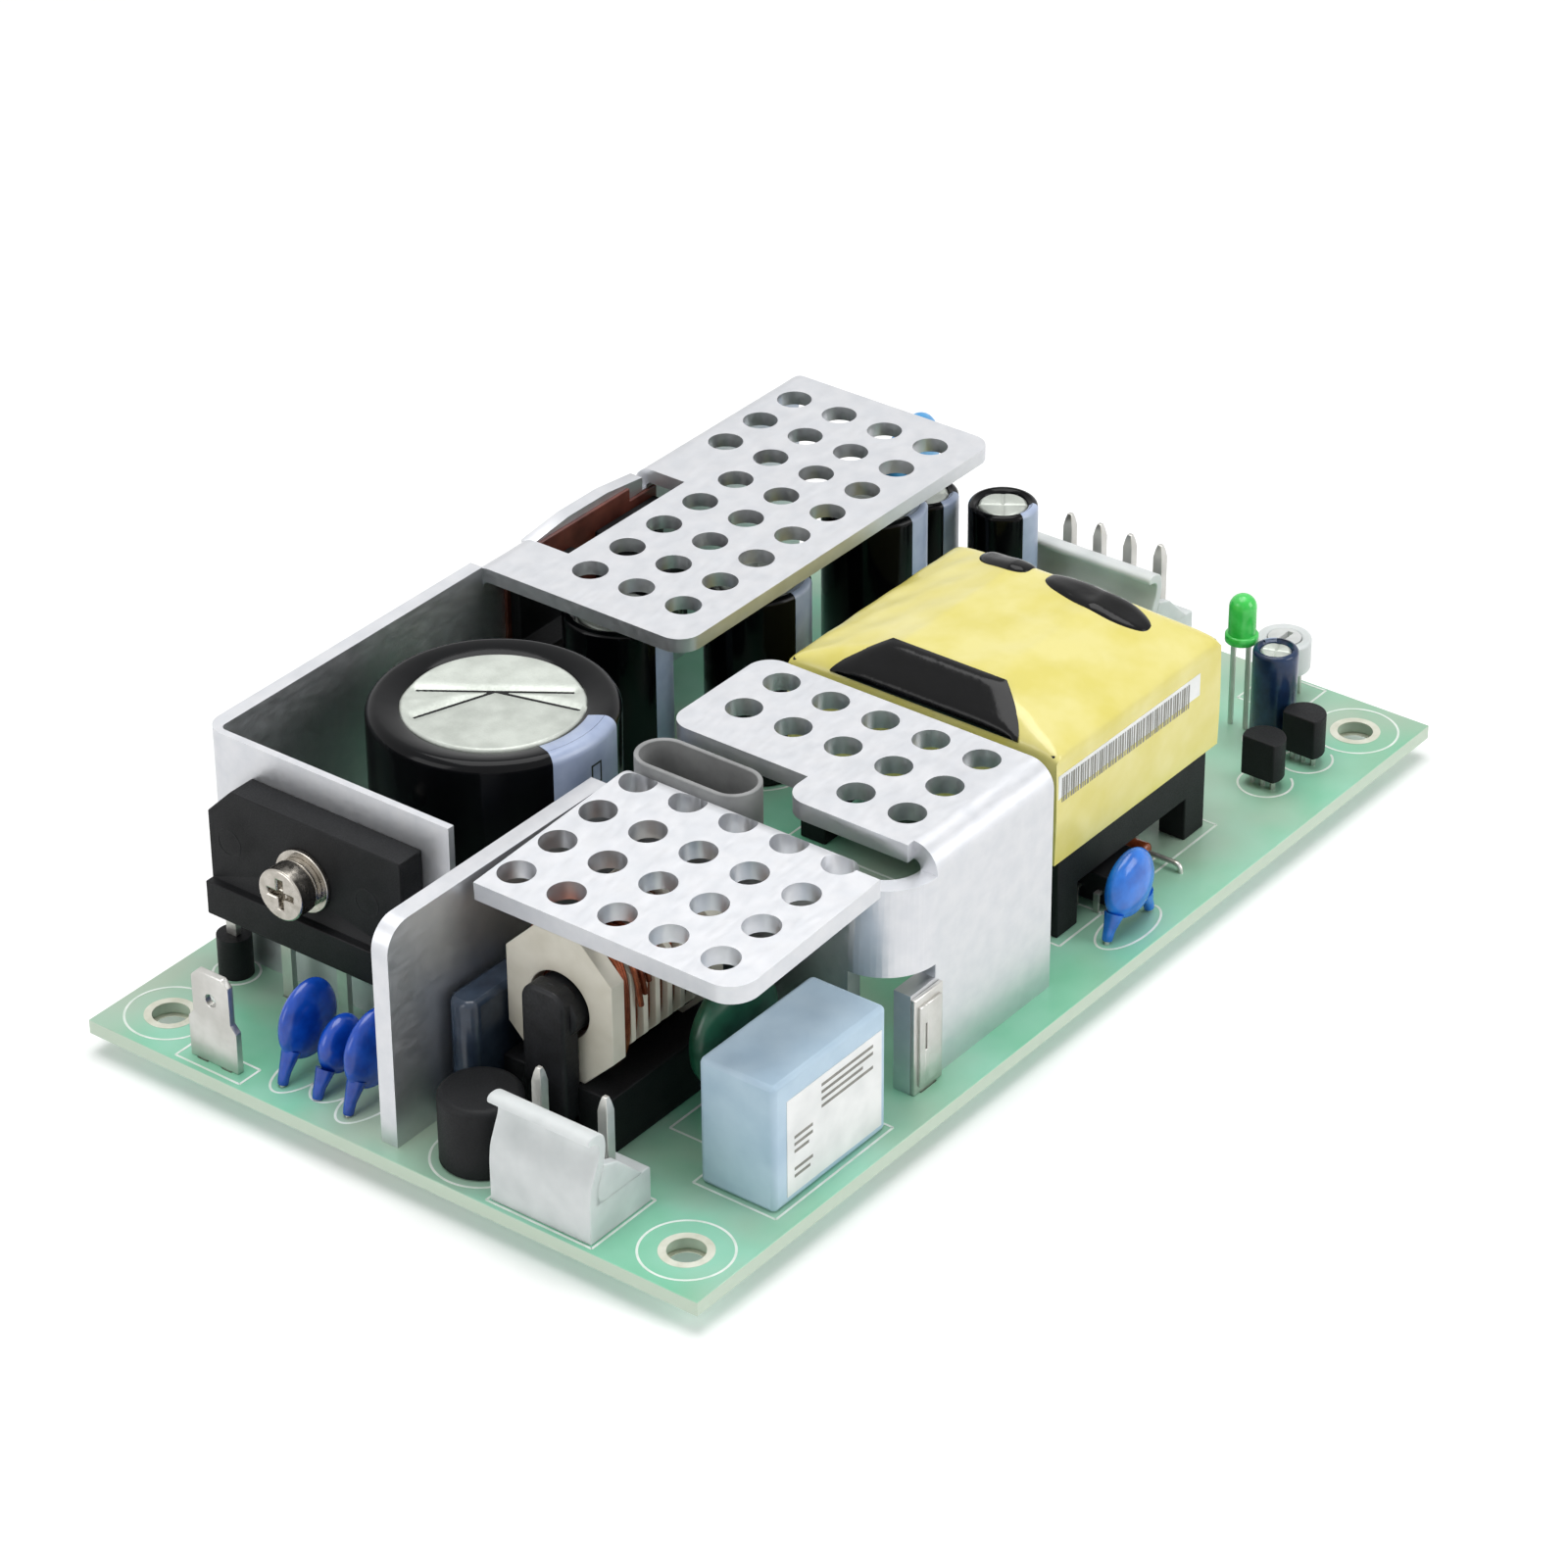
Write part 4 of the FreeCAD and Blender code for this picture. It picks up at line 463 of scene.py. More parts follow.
# %% [markdown]
# One CAD node can hold several solids, such as three capacitors that are alike. To dress each one we
# need its own box. We could type the places in, but they would be wrong as soon as the CAD changed, so
# they are measured: points that share a face get the same label, until no label changes any more.


# %% The solids of a node
def solids(node):
    """The boxes of a node's separate solids, in mm: the lowest label spreads over points that touch."""
    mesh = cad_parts[node].data
    points = np.empty(len(mesh.vertices) * 3)
    corners = np.empty(len(mesh.loops), dtype=np.int32)
    mesh.vertices.foreach_get("co", points)
    mesh.loops.foreach_get("vertex_index", corners)
    points = points.reshape(-1, 3) / MM
    _, same = np.unique(np.round(points / 0.001), axis=0, return_inverse=True)
    same = same.reshape(-1)
    faces = same[corners].reshape(-1, 3)
    label, before = np.arange(same.max() + 1), None
    while before is None or (label != before).any():
        before = label.copy()
        np.minimum.at(label, faces.ravel(), np.repeat(label[faces].min(axis=1), 3))
    return [(points[label[same] == n].min(axis=0), points[label[same] == n].max(axis=0))
            for n in np.unique(label[same])]


def metres(shape):
    """Millimetres to metres."""
    return shape[0] * MM, shape[1]


print("solids of the output capacitors", [np.round((low + high) / 2, 1).tolist()
                                          for low, high in solids("output_capacitor_cans")])


# %% [markdown]
# ## Electrolytic capacitors
# Each can sits in a heat-shrunk sleeve, whose top edge is rolled over the rim of the can. The sleeve is
# a profile turned about the can's axis. Pressed grooves in the bare top let the can open safely. They
# could be cut with a Boolean, but sinking the disc's height near each groove also gives the soft bulges
# between them.


# %% Sleeve and grooved top
def sleeve_profile(radius, height, lap, rim):
    """Up the wall, round the shoulder and down into the rolled edge, as (radius, height)."""
    return np.concatenate([
        [(radius - 0.25, 0), (radius, 0.3)],
        arc((radius - rim, height - rim), rim, 0, 90, 8),
        [(radius - lap * 0.55, height - 0.12), (radius - lap * 0.85, height - 0.3),
         (radius - lap, height - 0.55), (radius - lap - 0.1, height - 0.9)]])


def grooved_top(centre, radius, height, grooves, depth, start=(0, 0), rings=60, segments=180):
    """A disc whose height is sunk near each groove: a narrow cut of the given depth with soft shoulders.

    All grooves leave one point. At distance d from the nearest groove of width w the surface drops by
    depth (0.5 exp(-(d/w)^2) + 0.6 exp(-(d/5w)^2)), so the sectors between the grooves bulge.
    """
    reach = np.concatenate([np.linspace(0.004, 1, rings) * (radius - 0.25), [radius, radius]])
    angle = np.linspace(0, 2 * np.pi, segments, endpoint=False)
    x, y = reach[:, None] * np.cos(angle), reach[:, None] * np.sin(angle)
    nearest = np.full(x.shape, radius)
    for turn, length in grooves:
        cos, sin = math.cos(math.radians(turn)), math.sin(math.radians(turn))
        along = np.clip((x - start[0]) * cos + (y - start[1]) * sin, 0, length)
        nearest = np.minimum(nearest, np.hypot(x - start[0] - along * cos, y - start[1] - along * sin))
    wide = radius / 15
    cut, slope = np.exp(-(nearest / wide) ** 2), np.exp(-(nearest / wide / 5) ** 2)
    z = height - depth * (0.5 * cut + 0.6 * slope)
    z[-2] -= 0.18
    z[-1] -= 1.2
    return grid(np.stack([x, y, z], axis=-1)[::-1] + centre, wrap_v=True)


print("sleeve profile", len(sleeve_profile(10, 20, 2, 1)), "points")


# %% [markdown]
# A printed stripe marks the minus side. A second material on the sleeve would need cut faces, so the
# stripe is a thin shell instead, which follows the sleeve's own profile through part of a turn.


# %% Stripe, and a whole capacitor
def stripe(profile, centre, start, end, lift=0.04):
    """A thin shell over the part of a sleeve's profile that the stripe covers."""
    outer = profile[1:-2] + (lift, 0)
    inner = profile[1:-2][::-1] - (0.05, 0)
    outer = np.where((np.arange(len(outer)) > 8)[:, None], outer + (-lift, lift), outer)
    return turned(np.concatenate([outer, inner]), centre, start, end, 24)


def capacitor(low, high, lap, rim, grooves, depth, black, bright, angles, start=(0, 0)):
    """Sleeve, top and stripe of one can from its box."""
    centre = np.array([*((low + high) / 2)[:2], low[2]])
    radius, height = (high[0] - low[0]) / 2, high[2] - low[2]
    profile = sleeve_profile(radius, height, lap, rim)
    black.append(lathe(profile, centre, segments=96))
    bright.append(grooved_top(centre, radius - lap - 0.05, height - 0.25, grooves, depth, start))
    return stripe(profile, centre, *angles)


# %% [markdown]
# The bulk capacitor is the largest can. The vent in its top is pressed as four grooves that leave one
# point, a little off the middle. Small upright marks repeat along its stripe. They are thin raised bars,
# because an edge that is a real shape stays sharp from close by and needs no image.

# %% Bulk capacitor
low, high = solids("bulk_capacitor_sleeve")[0]
sleeves, tops = [], []
k_grooves = [(125, 7.8), (-55, 7.8), (160, 9.2), (-76, 9.2)]
mark = capacitor(low, high, 3.4, 1.2, k_grooves, 0.62, sleeves, tops, (247, 291), start=(2.3, 1.7))
add_piece("bulk_capacitor_shrunk_sleeve", metres(join(*sleeves)), sleeve_black,
          ("bulk_capacitor_sleeve",))
add_piece("bulk_capacitor_grooved_top", metres(join(*tops)), can_top,
          ("bulk_capacitor_can",), sharp=60)
stripes = [mark]
centre = (low + high) / 2
bulk_radius = (high[0] - low[0]) / 2
foot = (centre[0], centre[1], low[2])


def mark_bar(start, end, level, tall, steps):
    """A bar that stands 0.07 mm off the sleeve between two angles, from a level up."""
    outer = bulk_radius + 0.07
    loop = [(bulk_radius, level), (outer, level), (outer, level + tall), (bulk_radius, level + tall)]
    return turned(loop, foot, start, end, steps)


signs = []
for height in (19.9, 13.4, 6.9):
    signs += [mark_bar(268, 268.9, height, 2.4, 3), mark_bar(274.1, 275, height, 2.4, 3)]
    signs += [mark_bar(268, 275, height, 0.2, 6), mark_bar(268, 275, height + 2.2, 0.2, 6)]
print("bulk capacitor", round(2 * bulk_radius, 2), "mm wide, marks", len(signs))

# %% [markdown]
# The other cans are the same form in other sizes, so loops over the solids of each node make them all.
# Their vents are plain crosses, and only the smallest has a dark blue sleeve.

# %% Output and small capacitors
sleeves, tops = [], []
cross = [(turn, 4.0) for turn in (35, 125, 215, 305)]
for low, high in solids("output_capacitor_sleeves"):
    stripes.append(capacitor(low, high, 1.6, 0.7, cross, 0.3, sleeves, tops, (262, 306)))
for low, high in solids("slim_capacitor_sleeves"):
    stripes.append(capacitor(low, high, 1.1, 0.6, [(turn, 2.3) for turn in (35, 125, 215, 305)], 0.22,
                             sleeves, tops, (250, 300)))
add_piece("output_capacitor_shrunk_sleeves", metres(join(*sleeves)), sleeve_black,
          ("output_capacitor_sleeves", "slim_capacitor_sleeves"))
small_sleeve = []
low, high = solids("small_capacitor_sleeve")[0]
small_mark = capacitor(low, high, 0.75, 0.5, [(turn, 1.4) for turn in (20, 110, 200, 290)], 0.15,
                       small_sleeve, tops, (30, 70))
add_piece("small_capacitor_shrunk_sleeve", metres(join(*small_sleeve)), sleeve_blue,
          ("small_capacitor_sleeve",))
add_piece("capacitor_grooved_tops", metres(join(*tops)), can_top,
          ("output_capacitor_cans", "slim_capacitor_cans", "small_capacitor_can"), sharp=60)
add_piece("capacitor_stripes", metres(join(*stripes, small_mark)), print_blue)
add_piece("polarity_signs", metres(join(*signs)), print_dark)
print("capacitors", len(stripes) + 1)


# %% [markdown]
# ## Transformer
# Yellow polyester tape is wrapped over the core and the coil. The coil stands higher than the core, so
# the tape rises from every side to a flat crown. Cloth simulation could drape it, but a tight wrap is
# simpler as a height: the lower of two slopes, one over the coil and one down to the end. Where the
# slopes meet, the folds of the tape appear by themselves.

# %% The height of the tape
low, high = (np.array(corner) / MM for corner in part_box("transformer_tape"))
core_low, core_high = (np.array(corner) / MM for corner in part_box("transformer_core"))
middle = (low + high) / 2
crown, shoulder = high[2] - 0.15, core_high[2] + 0.12
half = (high[1] - low[1]) / 2


def crown_height(x, y):
    """The tape's top: the lower of the slope over the coil and the slope down to either end.

    Over the coil it rises from the shoulder to the crown between 1 and 0.34 of the half width. Towards
    an end it falls by 0.8 mm for each millimetre. A soft minimum rounds the fold, and faint creases
    run across the top.
    """
    across = np.clip((1 - np.abs(y - middle[1]) / half) / 0.66, 0, 1)
    over_coil = shoulder + (crown - shoulder) * across ** 0.9
    to_end = (core_high[0] - core_low[0]) / 2 - np.abs(x - middle[0])
    down_end = shoulder + 0.1 + to_end * 0.8
    blend = 0.25
    soft = -blend * np.log(np.exp(-over_coil / blend) + np.exp(-down_end / blend))
    crease = 0.07 * np.sin(x * 0.9 + y * 0.45 + 1.5 * np.sin(y * 0.3)) * np.sin(y * 0.6 - x * 0.25)
    return soft + crease * np.clip(to_end / 4, 0, 1)


print("tape from", round(float(shoulder), 2), "to", round(float(crown), 2), "mm")

# %% [markdown]
# The wrap is one grid: sections across the transformer, each of a front wall, the top and a back wall.
# The columns are closer at the edges, where the tape turns down, and the walls bulge a little, as tape
# does between the corners that hold it.

# %% Wrapped tape
columns = np.linspace(-1, 1, 97)
across = np.sign(columns) * np.abs(columns) ** 0.9
stations = np.linspace(-1, 1, 81)
half_long = (core_high[0] - core_low[0]) / 2 + 0.2
x = middle[0] + half_long * stations[:, None] + 0 * across
y = middle[1] + half * across + 0 * x
top = crown_height(x, y)
rounding = 0.35 * (np.abs(across) ** 30 + np.abs(stations[:, None]) ** 60)
upper = np.stack([x, y, top - rounding], axis=-1)
side_levels = np.linspace(0, 1, 14)[:, None, None]
bulge = 0.12 * np.sin(np.linspace(0, np.pi, 14))[:, None]


def side(column, sign):
    """A side wall from the tape's edge down to the bottom, bulging by a tenth of a millimetre."""
    edge = upper[:, column]
    drop = (edge[:, 2] - low[2])[None] * side_levels[:, 0]
    wall = np.repeat(edge[None], 14, axis=0)
    wall[..., 2] -= drop
    wall[..., 1] += sign * bulge
    return wall


front_wall = side(0, -1)[::-1].transpose(1, 0, 2)
back_wall = side(-1, 1).transpose(1, 0, 2)
wrap = np.concatenate([front_wall[:, :-1], upper, back_wall[:, 1:]], axis=1)
add_piece("transformer_wrapped_tape", metres(grid(wrap, wrap_v=True)), tape_yellow,
          ("transformer_tape",), sharp=50)


print("tape grid", wrap.shape[:2])

# %% [markdown]
# At both ends the black coil shows through the wrap. At the near end it is a trapezoid that bulges like
# a cushion. At the far end two patches lie over the fold. All of them follow the height of the tape, so
# they sit on it without a gap, and each is a closed sheet with an underside inside the tape.


# %% Coil ends
def coil_end(sign, reach):
    """The black coil end: a trapezoid on the end slope that bulges like a cushion."""
    s, t = np.meshgrid(np.linspace(-1, 1, 49), np.linspace(0, 1, 25), indexing="ij")
    wide = 11.6 - 4.6 * t ** 1.4
    out = middle[0] + sign * (half_long - 0.1 - reach * t)
    rise = shoulder + 0.15 + (crown - shoulder - 0.1) * t
    cushion = 0.55 * (1 - s ** 8) * (1 - (2 * t - 1) ** 6)
    face = np.stack([out + sign * cushion * 0.62, middle[1] - 0.2 + wide * s, rise + cushion * 0.78],
                    axis=-1)
    under = face - np.array([sign * 0.3, 0, 0.6]) * (1 + cushion[..., None] * 2)
    sheet = np.concatenate([face, under[:, ::-1]], axis=1)
    return grid(sheet, wrap_v=True)


def coil_patch(start, end, wide=1.35, bulge=0.5, lean=0.0):
    """The black coil where it shows over the fold at the far end, from start to end across the wrap.

    Its near edge follows the fold, it runs down the end slope, and its height falls to nothing at the
    edges.
    """
    s, t = np.meshgrid(np.linspace(-1, 1, 41), np.linspace(-1, 1, 13), indexing="ij")
    tip = np.sqrt(np.clip(1 - s ** 4, 0.0004, 1))
    y = (start + end) / 2 + (end - start) / 2 * s
    level = np.clip((1 - np.abs(y - middle[1]) / half) / 0.66, 0, 1) ** 0.9 * (crown - shoulder)
    reach = np.where(t < 0, wide, 1 + level * 0.75) * tip * t
    x = middle[0] + (core_high[0] - core_low[0]) / 2 - level / 0.8 - 0.75 + reach - lean * (1 - s) / 2
    top = crown_height(x, y) - 0.14 + (bulge + 0.14) * (1 - t ** 4) * tip
    under = np.stack([x, y, top - 0.5], axis=-1)
    sheet = np.concatenate([np.stack([x, y, top], axis=-1), under[:, ::-1]], axis=1)
    return grid(sheet, wrap_v=True)


ends = join(coil_end(-1, 4.6), coil_patch(-10.0, -2.4, 1.5), coil_patch(-25.2, -12.0, 1.75, lean=2.6))
add_piece("transformer_coil_ends", metres(ends), coil_black, ("transformer_winding",),
          sharp=55)
print("coil pieces", 3)

# %% [markdown]
# The side carries a paper strip with a row of plain bars. The strip and its bars are flat boxes. A box
# is the simplest case of a plate: an outline carried straight along an axis, which other pieces need as
# well.


# %% Plates, and the label with its bars
def plate(outline, low, high, axis="z"):
    """A flat outline carried straight from low to high along an axis, closed at both ends."""
    outline = np.asarray(outline, float)
    levels = np.array([low, high])[:, None] + 0 * outline[:, 0]
    first, second = outline[:, 0] + 0 * levels, outline[:, 1] + 0 * levels
    order = {"z": (first, second, levels), "x": (levels, first, second),
             "y": (second, levels, first)}[axis]
    return grid(np.stack(order, axis=-1), wrap_v=True)


def block(low, high):
    """A box between two corners."""
    (x0, y0, z0), (x1, y1, z1) = low, high
    return plate([(x0, y0), (x1, y0), (x1, y1), (x0, y1)], z0, z1)


front = low[1] - 0.06
label = block((middle[0] - 14.4, front - 0.05, 17.4), (middle[0] + 10.8, front + 0.2, 21.4))
add_piece("transformer_label", metres(label), label_white)
bars, place = [], middle[0] - 13.8
for step in range(56):
    wide = 0.14 + 0.16 * ((step * 7) % 3) / 2
    bars.append(block((place, front - 0.08, 18.2), (place + wide, front, 21.0)))
    place += wide + 0.13 + 0.12 * ((step * 5) % 4) / 3
add_piece("transformer_bars", metres(join(*bars)), print_grey)
print("bars end at", round(float(place), 2), "mm")


# %% [markdown]
# ## Common mode choke
# A cream bobbin carries thick enamelled copper wire around a ferrite core, and wire is a round section
# carried along a path. A curve with a bevel would do the same, but it would stay a curve and not a mesh,
# so the tube is a mesh from the start.


# %% Tube
def tube(path, radius, sides=10):
    """A round section carried along a path: p + r (n cos a + b sin a), with n and b across the path."""
    path = np.asarray(path, float)
    ahead = np.gradient(path, axis=0)
    tangent = ahead / np.linalg.norm(ahead, axis=1, keepdims=True)
    spread = np.ptp(path, axis=0)
    reference = np.eye(3)[np.argmin(spread)]
    normal = np.cross(tangent, reference)
    length = np.linalg.norm(normal, axis=1, keepdims=True)
    spare = np.eye(3)[(np.argmin(spread) + 1) % 3]
    normal = np.where(length > 1e-6, normal / np.maximum(length, 1e-9), spare)
    binormal = np.cross(tangent, normal)
    angle = np.linspace(0, 2 * np.pi, sides, endpoint=False)[None, :, None]
    reach = np.broadcast_to(np.asarray(radius, float).reshape(-1, 1, 1), (len(path), 1, 1))
    ring = path[:, None] + reach * (normal[:, None] * np.cos(angle) + binormal[:, None] * np.sin(angle))
    return grid(ring, wrap_v=True)


print("points of a short tube", len(tube([(0, 0, 0), (1, 0, 0)], 0.3)[0]))

# %% [markdown]
# Each coil winds on a rounded rectangle, and it moves along the bobbin while it goes round, as real wire
# does. The ribs of the bobbin keep the coils apart, and four strands cross the first rib on the top. The
# rectangle is a superellipse, for which the distance from its middle is known at every angle.


# %% Wound copper
def rounded(angle, wide, tall, power):
    """How far a rounded rectangle is from its middle: |x / wide|^p + |y / tall|^p = 1."""
    return (np.abs(np.cos(angle) / wide) ** power
            + np.abs(np.sin(angle) / tall) ** power) ** (-1 / power)


bobbin_low, bobbin_high = (np.array(corner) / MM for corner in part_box("choke_bobbin"))
coils = solids("choke_winding")
axis_y = (bobbin_low[1] + bobbin_high[1]) / 2
axis_z = (coils[0][0][2] + coils[0][1][2]) / 2
wire = 0.3
half_wide = (coils[0][1][1] - coils[0][0][1]) / 2 - wire
half_tall = (coils[0][1][2] - coils[0][0][2]) / 2 - wire
turns = []
for number, (coil_low, coil_high) in enumerate(coils):
    first, last = coil_low[0] + wire, coil_high[0] - wire
    count = 3 if number == 0 else 2
    more = 1.0 if number == 0 else 0.35
    angle = np.linspace(0, 2 * np.pi * count, 48 * count + 1)
    reach = rounded(angle, half_wide + more, half_tall + more, 3.2)
    along = first + (last - first) * angle / angle[-1]
    path = np.stack([along, axis_y + reach * np.cos(angle), axis_z + reach * np.sin(angle)], axis=-1)
    turns.append(tube(path, wire, 8))
for step in range(4):
    angle = np.radians(np.linspace(118, 2 + 9 * step, 24))
    reach = rounded(angle, 6.3, 7.75, 3.4) + 0.1
    along = np.linspace(coils[0][0][0] + 0.2 + 0.64 * step, coils[1][0][0] + 0.2 + 0.64 * step, 24)
    path = np.stack([along, axis_y - reach * np.cos(angle), axis_z + reach * np.sin(angle)], axis=-1)
    turns.append(tube(path, wire, 8))
coil_low, coil_high = coils[0][0], coils[-1][1]
angle = np.linspace(0, 2 * np.pi, 24, endpoint=False)
inner = plate(np.stack([axis_y + (half_wide - wire) * 0.96 * np.cos(angle),
                        axis_z + (half_tall - wire) * 0.96 * np.sin(angle)], axis=-1),
              coil_low[0], coil_high[0], axis="x")
add_piece("choke_copper_turns", metres(join(*turns, inner)), copper, ("choke_winding",))
print("coils", len(coils), "strands", 4)

# %% [markdown]
# The bobbin is right in the CAD model, and only its edges are too sharp. A CAD node is a set of loose
# triangles, which a Bevel modifier can't round. So a copy is merged, its flat faces are joined again,
# and the copy stands for the node.


# %% Softened copies, and the bobbin
def soften(node, material, bevel=0.12 * MM, body=BODY, sharp=30):
    """A merged copy of a CAD node with slightly rounded edges, standing for it."""
    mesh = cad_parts[node].data.copy()
    bm = bmesh.new()
    bm.from_mesh(mesh)
    bmesh.ops.remove_doubles(bm, verts=bm.verts, dist=1e-6)
    bmesh.ops.dissolve_limit(bm, angle_limit=math.radians(0.5), verts=bm.verts, edges=bm.edges)
    bm.to_mesh(mesh)
    bm.free()
    return add_object(f"{node}_finished", mesh, material, (node,), body, bevel, sharp)


soften("choke_bobbin", nylon_cream, 0.3 * MM)
print("softened", "choke_bobbin")

# %% [markdown]
# The core is two upright bars with rounded tops, joined by a round limb through the coils and a bar
# below. Its outline at the end is two straight sides and two arcs, carried through the thickness of the
# bar. The base below it is softened like the bobbin.

# %% Core and base of the choke
low, high = (np.array(corner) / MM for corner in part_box("choke_core"))
limb_z, half_bar = high[2] - 3.2, 2.55
bar = np.concatenate([[(axis_y + half_bar, low[2])],
                      arc((axis_y + half_bar - 1.6, high[2] - 1.75), 1.6, 0, 90, 8),
                      arc((axis_y - half_bar + 1.6, high[2] - 1.75), 1.6, 90, 180, 8),
                      [(axis_y - half_bar, low[2])]])
thick = 2.4
core = [plate(bar, low[0], low[0] + thick, axis="x"), plate(bar, high[0] - thick, high[0], axis="x"),
        lathe([(0.02, low[0] + 1), (3.1, low[0] + 1), (3.1, high[0] - 1), (0.02, high[0] - 1)],
              (0, axis_y, limb_z), "x", 40),
        block((low[0] + 1, axis_y - half_bar, low[2]), (high[0] - 1, axis_y + half_bar, low[2] + thick))]
add_piece("choke_core_bars", metres(join(*core)), ferrite, ("choke_core",), bevel=0.35 * MM)
soften("choke_base", epoxy_black, 0.15 * MM)
print("bars of the core", round(2 * half_bar, 2), "mm wide")


# %% [markdown]
# ## Dipped capacitors and varistor
# A disc capacitor is dipped in liquid resin, so it is a rounded lens that runs down onto its legs. A
# sculpted sphere could serve, but a superellipse turned about the thin direction gives the same form
# with one number for how full it is. The varistor is the same with a fuller form.


# %% A dipped disc
def dipped(low, high, axis, power=2.4, fill=(1, 1, 1), rings=20, segments=56):
    """A lens that fills a box: thickness t = (1 - r^power)^(1/2) on a circle of radius r from 0 to 1.

    The surface is uneven by one part in forty, as resin that ran down and set.
    """
    low, high = np.asarray(low), np.asarray(high)
    centre, half = (low + high) / 2, (high - low) / 2 * fill
    swing = np.linspace(-np.pi / 2, np.pi / 2, 2 * rings)[1:-1]
    reach = np.cos(swing) ** (2 / power)
    thick = np.sin(swing)
    angle = np.linspace(0, 2 * np.pi, segments, endpoint=False)
    one, two = reach[:, None] * np.cos(angle), reach[:, None] * np.sin(angle)
    swell = 1 - 0.025 * (1 + np.sin(angle * 3 + 1.3) * np.abs(two))
    away = thick[:, None] + 0 * one
    order = {"y": (one * swell, away, two * swell), "x": (away, one * swell, two * swell)}[axis]
    return grid(centre + half * np.stack(order, axis=-1), wrap_v=True)


print("lens faces", len(dipped((0, 0, 0), (8, 3, 8), "y")[1]))


# %% [markdown]
# Under the disc each leg leans out, bends and goes straight down into the board, so its path is a
# polyline with rounded corners. The resin on it is a tube whose radius shrinks towards the board, over
# the bare wire.


# %% Rounded corners, and a leg
def round_corners(corners, radius, steps=4):
    """A polyline with each inner corner replaced by a curve.

    Along each corner the point is (1-t)^2 a + 2t(1-t) b + t^2 c, where b is the corner and a and c lie
    on its two sides, a radius away but never past half the side.
    """
    corners = np.asarray(corners, float)
    before, here, after = corners[:-2], corners[1:-1], corners[2:]
    to_before, to_after = before - here, after - here
    reach_before = np.linalg.norm(to_before, axis=1, keepdims=True)
    reach_after = np.linalg.norm(to_after, axis=1, keepdims=True)
    cut = np.minimum(radius, np.minimum(reach_before, reach_after) / 2)
    a = here + to_before / reach_before * cut
    c = here + to_after / reach_after * cut
    t = np.linspace(0, 1, steps + 1)[None, :, None]
    curve = (1 - t) ** 2 * a[:, None] + 2 * t * (1 - t) * here[:, None] + t ** 2 * c[:, None]
    return np.concatenate([corners[:1], curve.reshape(-1, corners.shape[1]), corners[-1:]])


def leg(top, bottom, thick, thin, wire=0.3, coat=0.55):
    """A resin leg from the disc and its bare wire down to the board.

    coat is the share of the leg's height that the resin covers.
    """
    top, bottom = np.asarray(top, float), np.asarray(bottom, float)
    bend = top + (bottom - top) * (0.8, 0.8, 0.62)
    corners = round_corners([top, bend, bottom], 1.6)
    run = np.concatenate([[0], np.cumsum(np.linalg.norm(np.diff(corners, axis=0), axis=1))])
    places = np.linspace(0, run[-1], 40)
    path = np.stack([np.interp(places, run, corners[:, n]) for n in range(3)], axis=-1)
    share = (path[:, 2] - top[2]) / (bottom[2] - top[2])
    radius = np.interp(share, [0, coat * 0.6, coat, coat + 0.03, 1],
                       [thick, thin * 1.15, thin, wire, wire])
    cut = share <= coat + 0.03
    return tube(path[cut], radius[cut], 12), tube(path, wire, 10)


# %% [markdown]
# Four kinds of dipped part stand on the board. They differ in colour, in fullness and in how their legs
# hang, so one function makes a part, and the numbers tell them apart. The bare wires are kept for one
# piece of their own.


# %% Dipped parts
def dipped_part(low, high, hang, spread, thick, thin, coat, power=2.4, fill=(1, 1, 1)):
    """A disc with two legs, as coated shapes and bare wires. The legs start hang mm out and down."""
    middle = (low + high) / 2
    coated, bare = [dipped(low, high, "y", power, fill)], []
    for sign in (-1, 1):
        top = middle + (sign * hang[0], 0, -hang[1])
        foot = (middle[0] + sign * spread, middle[1], BOARD_TOP / MM - 0.3)
        resin, wire = leg(top, foot, thick, thin, coat=coat)
        coated.append(resin)
        bare.append(wire)
    return coated, bare


wires, bodies = [], []
for low, high in solids("input_disc_capacitors"):
    spread = 4.1 if high[2] > 10 else 3.8
    hang = (spread * 0.62, (high[2] - low[2]) * 0.24)
    coated, bare = dipped_part(low, high, hang, spread, 1.0, 0.55, 0.86, fill=(0.88, 0.86, 0.95))
    bodies += coated
    wires += bare
add_piece("input_dipped_capacitors", metres(join(*bodies)), resin_blue,
          ("input_disc_capacitors",), sharp=60)
for node, name, resin, slot, form in (
        ("side_disc_capacitor", "side_dipped_capacitor", resin_bright, "resin_bright_blue",
         ((2.6, 2.2), 3.9, 1.05, 0.55, 0.8, 2.4, (0.92, 0.95, 0.92))),
        ("far_disc_capacitor", "far_dipped_capacitor", resin_light, "resin_light_blue",
         ((2.9, 2.6), 3.75, 0.9, 0.5, 0.3)),
        ("varistor", "dipped_varistor", resin_green, "resin_green",
         ((3.4, 3.6), 4.6, 0.9, 0.5, 0.3, 4))):
    coated, bare = dipped_part(*solids(node)[0], *form)
    add_piece(name, metres(join(*coated)), resin, (node,), sharp=60)
    wires += bare
print("bare wires", len(wires))

# %% [markdown]
# The small diode lies on the board between two bent wires. Its capsule is a bar with rounded ends,
# turned about its own axis, and a dark band marks one end. Its wires join the others as one tinned
# piece.

